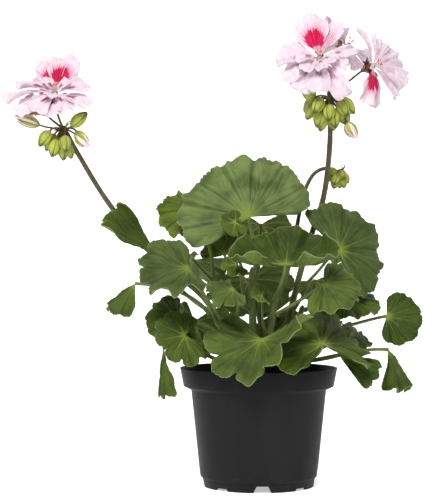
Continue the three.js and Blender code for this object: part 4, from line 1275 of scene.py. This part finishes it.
def bud_body(at, along, length, fat, opening, draw):
    """A bud: furled petals inside five ribbed sepals that meet over it, or part when it opens."""
    axes = frame_along(along)
    turn_by = anywhere(draw)
    parts = [bud_core(at, axes, length, fat, opening)]
    for k in range(5):
        sheet, across, share = fan_grid(6, 10)
        s = share * (0.8 if opening else 1.0)
        half = math.radians(19 if opening else 41) * np.clip(1.02 - share ** (3.2 if opening else 7), 0.25, 1)
        angle = turn_by + math.radians(72 * k) + across * half
        keel = 1 + 0.1 * (1 - np.abs(across)) ** 2
        splay = 0.3 * share**3 if opening else 0.0
        reach = (egg(s * 0.97 + 0.02, fat) + 0.16) * keel + splay
        flat = np.stack([reach * np.cos(angle), reach * np.sin(angle), s * length], 1)
        parts.append(closed_scale(sheet, across, share, flat, at, axes, SEPAL_GREEN, 0.3))
    s = draw.uniform(0.05, 0.9, BUD_HAIRS)
    angle = anywhere(draw, BUD_HAIRS)
    out = np.stack([np.cos(angle), np.sin(angle), 0 * s], 1)
    basis = np.array(axes)
    places = (out * (egg(s, fat) * 1.06)[:, None] + np.stack([0 * s, 0 * s, s * length], 1)) @ basis
    parts.append(hairs(places + np.array(at), out @ basis, draw, 0.8, BUD_HAIR_WIDTH))
    return parts


def pedicel(start, through, end, radius, material, draw):
    """A bud's or floret's own stalk, with a few hairs, and its route."""
    route = even(bezier([start, through, end], 60), 12)
    radii = radius * np.linspace(1.0, 0.9, 12)
    return [tube(route, radii, 8, material), hairs_along(route, radii, draw, per_mm=3, length=0.7)], route


def calyx_parts(centre, floret, draw):
    """A floret's long stalk and russet calyx, its five sepals spread behind the petals."""
    axis = Vector(floret["faces"]).normalized()
    foot = Vector(floret["centre"]) - axis * 1.2 - axis * 9
    bow = centre.lerp(foot, 0.55) - axis * 4
    root = centre + (bow - centre).normalized() * STALK_START
    parts, _ = pedicel(root, bow, foot, FLORET_STALK_RADIUS, PEDICEL, draw)
    axes = frame_along(axis)
    tube_rows = [(0.9, -0.8), (1.5, 0.5), (2.2, 2.6), (2.9, 5.2), (3.3, 8.4)]
    parts.append(cup(tube_rows, foot, axes[2], 12, SEPAL_BROWN))
    steps = np.linspace(0, 1, 60)
    bend = np.radians(SEPAL_START + (floret["spread"] - SEPAL_START) * steps**1.8)
    gone_out, gone_up = (np.concatenate([[0], np.cumsum(way(bend[1:]))]) / 59 for way in (np.sin, np.cos))

    def curve(length, across, share):
        reach = 1.5 + np.interp(share, steps, gone_out * length) - 0.5 * np.abs(across) ** 2 * (1 - share)
        return reach, 1.2 + np.interp(share, steps, gone_up * length) + 0.3 * np.abs(across) ** 2

    for k in range(5):
        bearing = math.radians(72 * k + 18)
        parts.append(scale_leaf(
            SEPAL_LONG, SEPAL_HALF_WIDTH, 0.8, bearing, curve, foot, axes, SEPAL_BROWN, 0.35
        ))
    return parts


def bracts(centre, along, draw):
    """The ring of small pointed scales where the stalk divides."""
    axes = frame_along(along)
    parts = []
    for k in range(7):
        long = draw.uniform(6.5, 8.5)
        bearing = math.radians(51 * k + draw.uniform(-12, 12))
        open_out = math.radians(draw.uniform(60, 115))

        def curve(length, across, share, open_out=open_out):
            bent = open_out * (0.5 + 0.5 * share)
            rise = -0.8 + length * share * np.cos(bent) + 0.5 * np.abs(across) ** 2
            return 1.9 + length * share * np.sin(bent), rise

        material = SEPAL_GREEN if k % 2 else SEPAL_BROWN
        parts.append(scale_leaf(long, 2.0, 0.7, bearing, curve, centre, axes, material, 0.4))
    return parts


def make_head(spec, order):
    """One flower stalk with the ring of bracts at its top, its buds, and the stalks of its florets."""
    draw = np.random.default_rng(HEAD_SEED + order)
    centre = Vector(spec["centre"])
    foot_radius, top_radius = spec["radius"]
    foot, way = on_shoot(*spec["grows"])
    foot = foot + way * (PETIOLE_CLEARANCE + foot_radius)
    route = even(catmull_rom([foot, *spec["path"]], 400), HEAD_STEPS)
    radii = np.linspace(foot_radius, top_radius, HEAD_STEPS)
    radii *= 0.97 + 0.02 * np.sin(np.arange(HEAD_STEPS) * 0.7)
    radii[-4:] *= (1.08, 1.2, 1.3, 1.15)
    parts = [tube(route, radii, 16, PEDUNCLE), hairs_along(route, radii, draw, per_mm=8, length=1.1)]
    end_way = Vector(route[-1] - route[-2]).normalized()
    knot = ball(16, 10)
    placed(knot, points_of(knot) * np.array([3.0, 3.0, 2.6]), centre, frame_along(end_way))
    parts.append(rounded(coloured(knot, PEDUNCLE)))
    parts += bracts(centre, end_way, draw)
    for k in range(spec["buds"]):
        around = math.radians(spec["start"]) + k * GOLDEN_ANGLE
        low, high = spec["fall"]
        fall = math.radians(low + (high - low) * (k + 0.5) / spec["buds"])
        out = Vector((math.cos(around) * math.cos(fall), math.sin(around) * math.cos(fall), math.sin(fall)))
        out = (out + Vector(spec["lean"])).normalized()
        near, far = spec["reach"]
        reach = near + (far - near) * ((k * GOLDEN_SHARE) % 1)
        to = centre + out * reach
        through = centre + out * reach * 0.72 + UP * reach * 0.34
        start = centre + out * STALK_START
        stems, line = pedicel(start, through, to, BUD_STALK_RADIUS, BUD_STALK, draw)
        along = Vector(line[-1] - line[-2]).normalized()
        size = draw.uniform(0.86, 1.0)
        length, fat = spec["bud_length"] * size + BUD_FOOT, spec["bud_radius"] * size * BUD_SWELL
        parts += stems + bud_body(to - along * BUD_FOOT, along, length, fat, False, draw)
    for base, tip, opening in spec["strays"]:
        base, tip = Vector(base), Vector(tip)
        along = (tip - base).normalized()
        through = base - along * 0.4 * (base - centre).length
        start = centre + (through - centre).normalized() * STALK_START
        stems, _ = pedicel(start, through, base, BUD_STALK_RADIUS, BUD_STALK, draw)
        length, fat = (tip - base).length + BUD_FOOT, spec["bud_radius"] * BUD_SWELL
        parts += stems + bud_body(base - along * BUD_FOOT, along, length, fat, opening, draw)
    for floret in spec["florets"]:
        parts += calyx_parts(centre, floret, draw)
    hand_in(joined(parts[::-1]), spec["name"] + "_umbel", spec["name"])


# The petals of each floret. Around is measured from the floret's up, open from its axis, long is a share of
# the floret's size, half is half the fan, and lift is how far up the throat the petal sits. The first two are
# the upper petals, which carry the crimson eye.
def petals(*rows):
    return [dict(zip(("around", "open", "long", "half", "lift"), row)) for row in rows]


PETALS = {
    "bloom_left_front": petals(
        (-9, 58, 1.1, 25, 0.5), (15, 61, 1.08, 24, 0), (64, 72, 0.95, 17, 0.3), (92, 82, 1.1, 15, 1),
        (118, 92, 0.92, 20, 0), (150, 84, 0.72, 25, 0.9), (-178, 86, 0.68, 25, 0.35), (-148, 84, 0.68, 23, 1),
        (-108, 80, 0.84, 27, 0.1), (-74, 66, 0.8, 22, 0.8), (40, 46, 0.42, 26, 1.4), (-48, 44, 0.4, 26, 1.4),
        (172, 55, 0.44, 26, 1.7),
    ),
    "bloom_left_back": petals(
        (24, 58, 1.1, 33, 0.5), (-26, 62, 1.12, 33, 0), (-78, 76, 0.84, 31, 0.6), (-128, 90, 0.86, 29, 0.1),
        (178, 84, 0.8, 30, 0.3), (60, 44, 0.5, 30, 1.2), (-155, 42, 0.46, 30, 1.2),
    ),
    "bloom_right_front": petals(
        (13, 58, 0.95, 30, 0.5), (-25, 62, 0.88, 23, 0), (78, 78, 0.94, 28, 0.1), (112, 86, 0.86, 26, 0.8),
        (146, 90, 0.84, 27, 0.2), (178, 84, 0.8, 25, 0.8), (-148, 92, 1.04, 16, 0), (-112, 80, 0.62, 20, 0.7),
        (-82, 74, 0.8, 15, 0.3), (96, 56, 0.5, 26, 1.4), (142, 60, 0.54, 26, 1.6), (-168, 54, 0.48, 26, 1.4),
        (-120, 56, 0.46, 24, 1.6),
    ),
    "bloom_right_back": petals(
        (-14, 84, 1.08, 27, 0.4), (26, 78, 1, 25, 0), (-64, 80, 0.9, 27, 0.1), (-112, 80, 0.85, 27, 0.5),
        (-158, 78, 0.8, 25, 0), (165, 70, 0.7, 20, 0.5),
    ),
    "bloom_right_side": petals(
        (-8, 84, 1.05, 26, 0.5), (16, 92, 0.95, 22, 0), (46, 66, 0.96, 22, 0.3), (82, 60, 1, 24, 0.8),
        (120, 64, 0.98, 24, 0.1), (157, 72, 0.95, 17, 0.8), (-166, 76, 1, 13, 0.2), (-110, 58, 0.5, 22, 0.9),
        (-60, 50, 0.42, 20, 1.2),
    ),
}
PETAL_BLADE = {
    **BLADE, "lobes": 2, "notch": 0.06, "corner": 0.34, "shoulder": 3, "pleat": 0.03, "waves": 5,
    "curl": 30, "droop": -14, "broad": -0.12,
}
PETAL_THICKNESS = 0.35
PETAL_SPREAD = 1.2  # how much broader the crimped petals are than the plain fans of the construction
PETAL_RUFFLES = ((5, 0.055), (9, 0.046), (17, 0.024))


def petal_blade(floret, petal, order):
    axis = Vector(floret["faces"]).normalized()
    up = Vector(floret["up"])
    up = (up - axis * up.dot(axis)).normalized()
    out = Matrix.Rotation(math.radians(petal["around"]), 3, axis) @ up
    cos, sin = math.cos(math.radians(petal["open"])), math.sin(math.radians(petal["open"]))
    return {
        **PETAL_BLADE,
        "hub": Vector(floret["centre"]) + axis * petal["lift"] + out * PETAL_START,
        "tip": axis * cos + out * sin,
        "face": axis * sin - out * cos,
        "radius": floret["size"] * petal["long"],
        "sweep": (-PETAL_SPREAD * petal["half"], PETAL_SPREAD * petal["half"]),
        "phase": 1.7 * order,
    }


def make_petal(blade, material, mark, draw):
    """One petal: a narrow claw that opens to a rounded, crimped blade. Mark is how strong its eye or fleck
    is."""
    radius = blade["radius"]
    sheet, across, share = fan_grid(30, 18)
    out = 0.03 + 0.97 * share**0.9
    squeeze = 0.62 + 0.38 * np.clip((out - 0.15) / 0.5, 0, 1) ** 1.2
    bites = np.abs(np.sin(across * draw.uniform(6, 9) + draw.uniform(0, 6)))
    ragged = 1 - 0.02 * bites * np.clip(out * 4 - 3, 0, 1)
    angle, reach, place = blade_flat(blade, across, out, ragged, squeeze)
    height = ruffled(blade_height(blade, angle, place, out), blade, across, out, draw, PETAL_RUFFLES)
    x, y = reach * np.cos(angle), reach * np.sin(angle)
    swell = ripple(x, y, 0 * x, draw, waves=5, height=0.02 * radius, wavelength=0.7 * radius)
    height += swell * out
    fan = ((across + 1) / 2, out)
    return closed_blade(blade, sheet, fan, x, y, height, (material, PETAL_BACK), PETAL_THICKNESS, mark=mark)


def make_stamens(centre, axes, draw):
    """The bundle of stamens in the throat: pale threads with brick-red tips."""
    side, other, axis = axes
    parts = []
    for k in range(7):
        angle = math.radians(51.4 * k)
        out = side * math.cos(angle) + other * math.sin(angle)
        high = draw.uniform(6.5, 9)
        waist, end = centre + out * 0.9 + axis * high * 0.6, centre + out * 2.2 + axis * high
        route = bezier([centre + out * 0.6, waist, end], 8)
        thread = with_fan_map(tube(route, np.linspace(0.34, 0.2, 8), 8, FURLED))
        tip = ball(8, 6)
        placed(tip, points_of(tip) * np.array([0.45, 0.5, 0.95]), route[-1], frame_along(out))
        parts += [thread, coloured(tip, POLLEN)]
    return parts


def make_bloom(floret, seed):
    draw = np.random.default_rng(BLOOM_SEED + seed)
    parts = []
    for order, petal in enumerate(PETALS[floret["name"]]):
        upper = order < len(floret["eyes"])
        material = PETAL_MARKED if upper else PETAL_PLAIN
        mark = floret["eyes"][order] if upper else floret["fleck"]
        parts.append(make_petal(petal_blade(floret, petal, order), material, mark, draw))
    axes = frame_along(floret["faces"])
    centre = Vector(floret["centre"])
    throat = [(1.2, -0.8), (1.8, -0.2), (1.8, 0.5), (1.3, 1.2), (0.6, 1.6)]
    parts.append(cup(throat, centre, axes[2], 16, FURLED))
    parts += make_stamens(centre, axes, draw)
    hand_in(joined(parts[::-1]), floret["name"] + "_petals", floret["name"])


# Each head: where its stalk grows and runs, its buds, and its florets. A stray is a bud that stands by
# itself: its base, its tip, and whether it opens. Eyes and fleck say how strong a floret's marks are.
HEADS = [
    dict(
        name="flower_stalk_left", grows=("left", 0.5, 75),
        path=[[-42, 21, 143], [-80, 16, 175], [-102, 12, 199], [-120, 9, 223], [-149, 0, 272]],
        radius=(2.4, 1.9), centre=(-150, 0, 274), buds=10, start=200, fall=(-80, 10),
        lean=(-0.35, -0.1, -0.25), reach=(8, 13), bud_length=15, bud_radius=3.5,
        strays=[
            ((-169, -2, 277), (-188, -6, 284), True),
            ((-143, -5, 276), (-131, -9, 286), False),
            ((-140, -4, 269), (-130, -7, 260), True),
        ],
        florets=[
            dict(name="bloom_left_front", centre=(-156, -8, 300), size=32, faces=(0.02, -0.58, 0.81),
                 up=(0.06, 0.6, 0.8), spread=84, eyes=(1, 1), fleck=1),
            dict(name="bloom_left_back", centre=(-172, 16, 292), size=26, faces=(-0.7, 0.25, 0.62),
                 up=(0, 0.9, 0.3), spread=84, eyes=(1, 1), fleck=0.5),
        ],
    ),
    dict(
        name="flower_stalk_right", grows=("right", 0.45, 95),
        path=[[34, 28, 165], [45, 36, 200], [52, 37.5, 221], [56, 19, 262], [55, 3, 297]],
        radius=(2.6, 2.1), centre=(55, 2, 298), buds=15, start=20, fall=(-72, 10), lean=(0, 0, -0.1),
        reach=(9, 15), bud_length=15.5, bud_radius=3.7,
        strays=[((68, -4, 278), (75, -6, 266), True), ((43, -3, 299), (33, -6, 303), False)],
        florets=[
            dict(name="bloom_right_front", centre=(46, -12, 327), size=33, faces=(-0.18, -0.82, 0.5),
                 up=(0.02, 0.4, 1), spread=86, eyes=(1, 0.12), fleck=0.75),
            dict(name="bloom_right_back", centre=(69, 22, 340), size=27, faces=(0.58, 0.38, 0.72),
                 up=(-0.6, -0.2, 0.75), spread=96, eyes=(1, 1), fleck=0.3),
            dict(name="bloom_right_side", centre=(87, -4, 322), size=30, faces=(0.7, -0.6, 0.3),
                 up=(0, -0.3, -1), spread=92, eyes=(1, 1), fleck=0.3),
        ],
    ),
    dict(
        name="bud_stalk", grows=("back", 0.7, -30),
        path=[[26, 35, 172], [34, 43, 212], [40, 46, 233], [47, 47, 243], [56, 46, 246], [63.5, 43, 242.5]],
        radius=(1.9, 1.5), centre=(64.5, 42, 241.5), buds=10, start=50, fall=(-80, 50), lean=(0, 0, 0),
        reach=(3.3, 4.3), bud_length=10, bud_radius=3, strays=[], florets=[],
    ),
]

# The studio, in metres: a paper sweep 8 m long that bends up 1.6 m behind the pot, and four soft lights.
SWEEP_LENGTH, SWEEP_FRONT, SWEEP_HALF_WIDTH = 8.0, 3.0, 4
BEND_START, BEND_RADIUS = 1.6, 0.9
LIGHTS = {  # name: place, what it looks at, width and height, power
    "key_light": ((-0.28, -1.15, 1.3), (0, 0, 0.18), (0.7, 0.7), 30),
    "fill_light": ((1.3, -1.0, 0.6), (0, 0, 0.15), (0.8, 0.8), 2),
    "paper_light_left": ((-1.5, 0.9, 1.6), (0, 2.3, 0.25), (1.0, 0.5), 24),
    "paper_light_right": ((1.5, 0.9, 1.6), (0, 2.3, 0.25), (1.0, 0.5), 24),
}
AIR_GLOW = (0.02, 1.0)  # the room's own light, and how bright it looks where the camera sees past the paper


def make_stage():
    paper = grid_sheet(2, 48)
    paper.name = "studio_sweep"
    grid = points_of(paper)
    run = (grid[:, 1] + 1) / 2 * SWEEP_LENGTH - SWEEP_FRONT
    arc = np.clip((run - BEND_START) / BEND_RADIUS, 0, math.pi / 2)
    past = np.clip(run - BEND_START - BEND_RADIUS * math.pi / 2, 0, None)
    y = np.minimum(run, BEND_START) + BEND_RADIUS * np.sin(arc)
    z = BEND_RADIUS * (1 - np.cos(arc)) + past + cad_box[0].z
    set_points(paper, np.stack([grid[:, 0] * SWEEP_HALF_WIDTH, y, z], 1))
    rounded(coloured(paper, PAPER))


def soft_light(name, at, look_at, size, power):
    lamp = new_shape(bpy.ops.object.light_add, type="AREA", location=at)
    lamp.name = name
    lamp.data.shape = "RECTANGLE"
    lamp.data.size, lamp.data.size_y = size
    lamp.data.energy = power
    lamp.rotation_euler = (Vector(look_at) - Vector(at)).to_track_quat("-Z", "Y").to_euler()


def make_air():
    """Air that lights the plant faintly and looks white behind it."""
    world = bpy.data.worlds.new("studio_air")
    bpy.context.scene.world = world
    world.use_nodes = True
    air = world.node_tree.nodes["Background"]
    air.inputs["Color"].default_value = colour("#fafbfc")
    seen = Pattern(add(world.node_tree, "LightPath"), "Is Camera Ray")
    world.node_tree.links.new(seen.ramp(0.0, 1.0, *AIR_GLOW).socket, air.inputs["Strength"])


def make_studio():
    make_stage()
    for name, light in LIGHTS.items():
        soft_light(name, *light)
    make_air()
    camera = new_shape(bpy.ops.object.camera_add, location=CAMERA_AT, rotation=(math.pi / 2, 0, 0))
    camera.data.lens = CAMERA_LENS
    camera.data.sensor_width = 36
    camera.data.clip_end = 50
    camera.data.dof.use_dof = False
    bpy.context.scene.camera = camera
    bpy.context.scene.view_settings.view_transform = "Standard"


make_studio()
make_pot()
make_soil()
make_stem([blade["grows"][:2] for blade in LEAVES])
for order, leaf_spec in enumerate(LEAVES):
    make_leaf(leaf_spec, order)
for order, head_spec in enumerate(HEADS):
    make_head(head_spec, order)
    for place, bloom_spec in enumerate(head_spec["florets"]):
        make_bloom(bloom_spec, 10 * order + place)
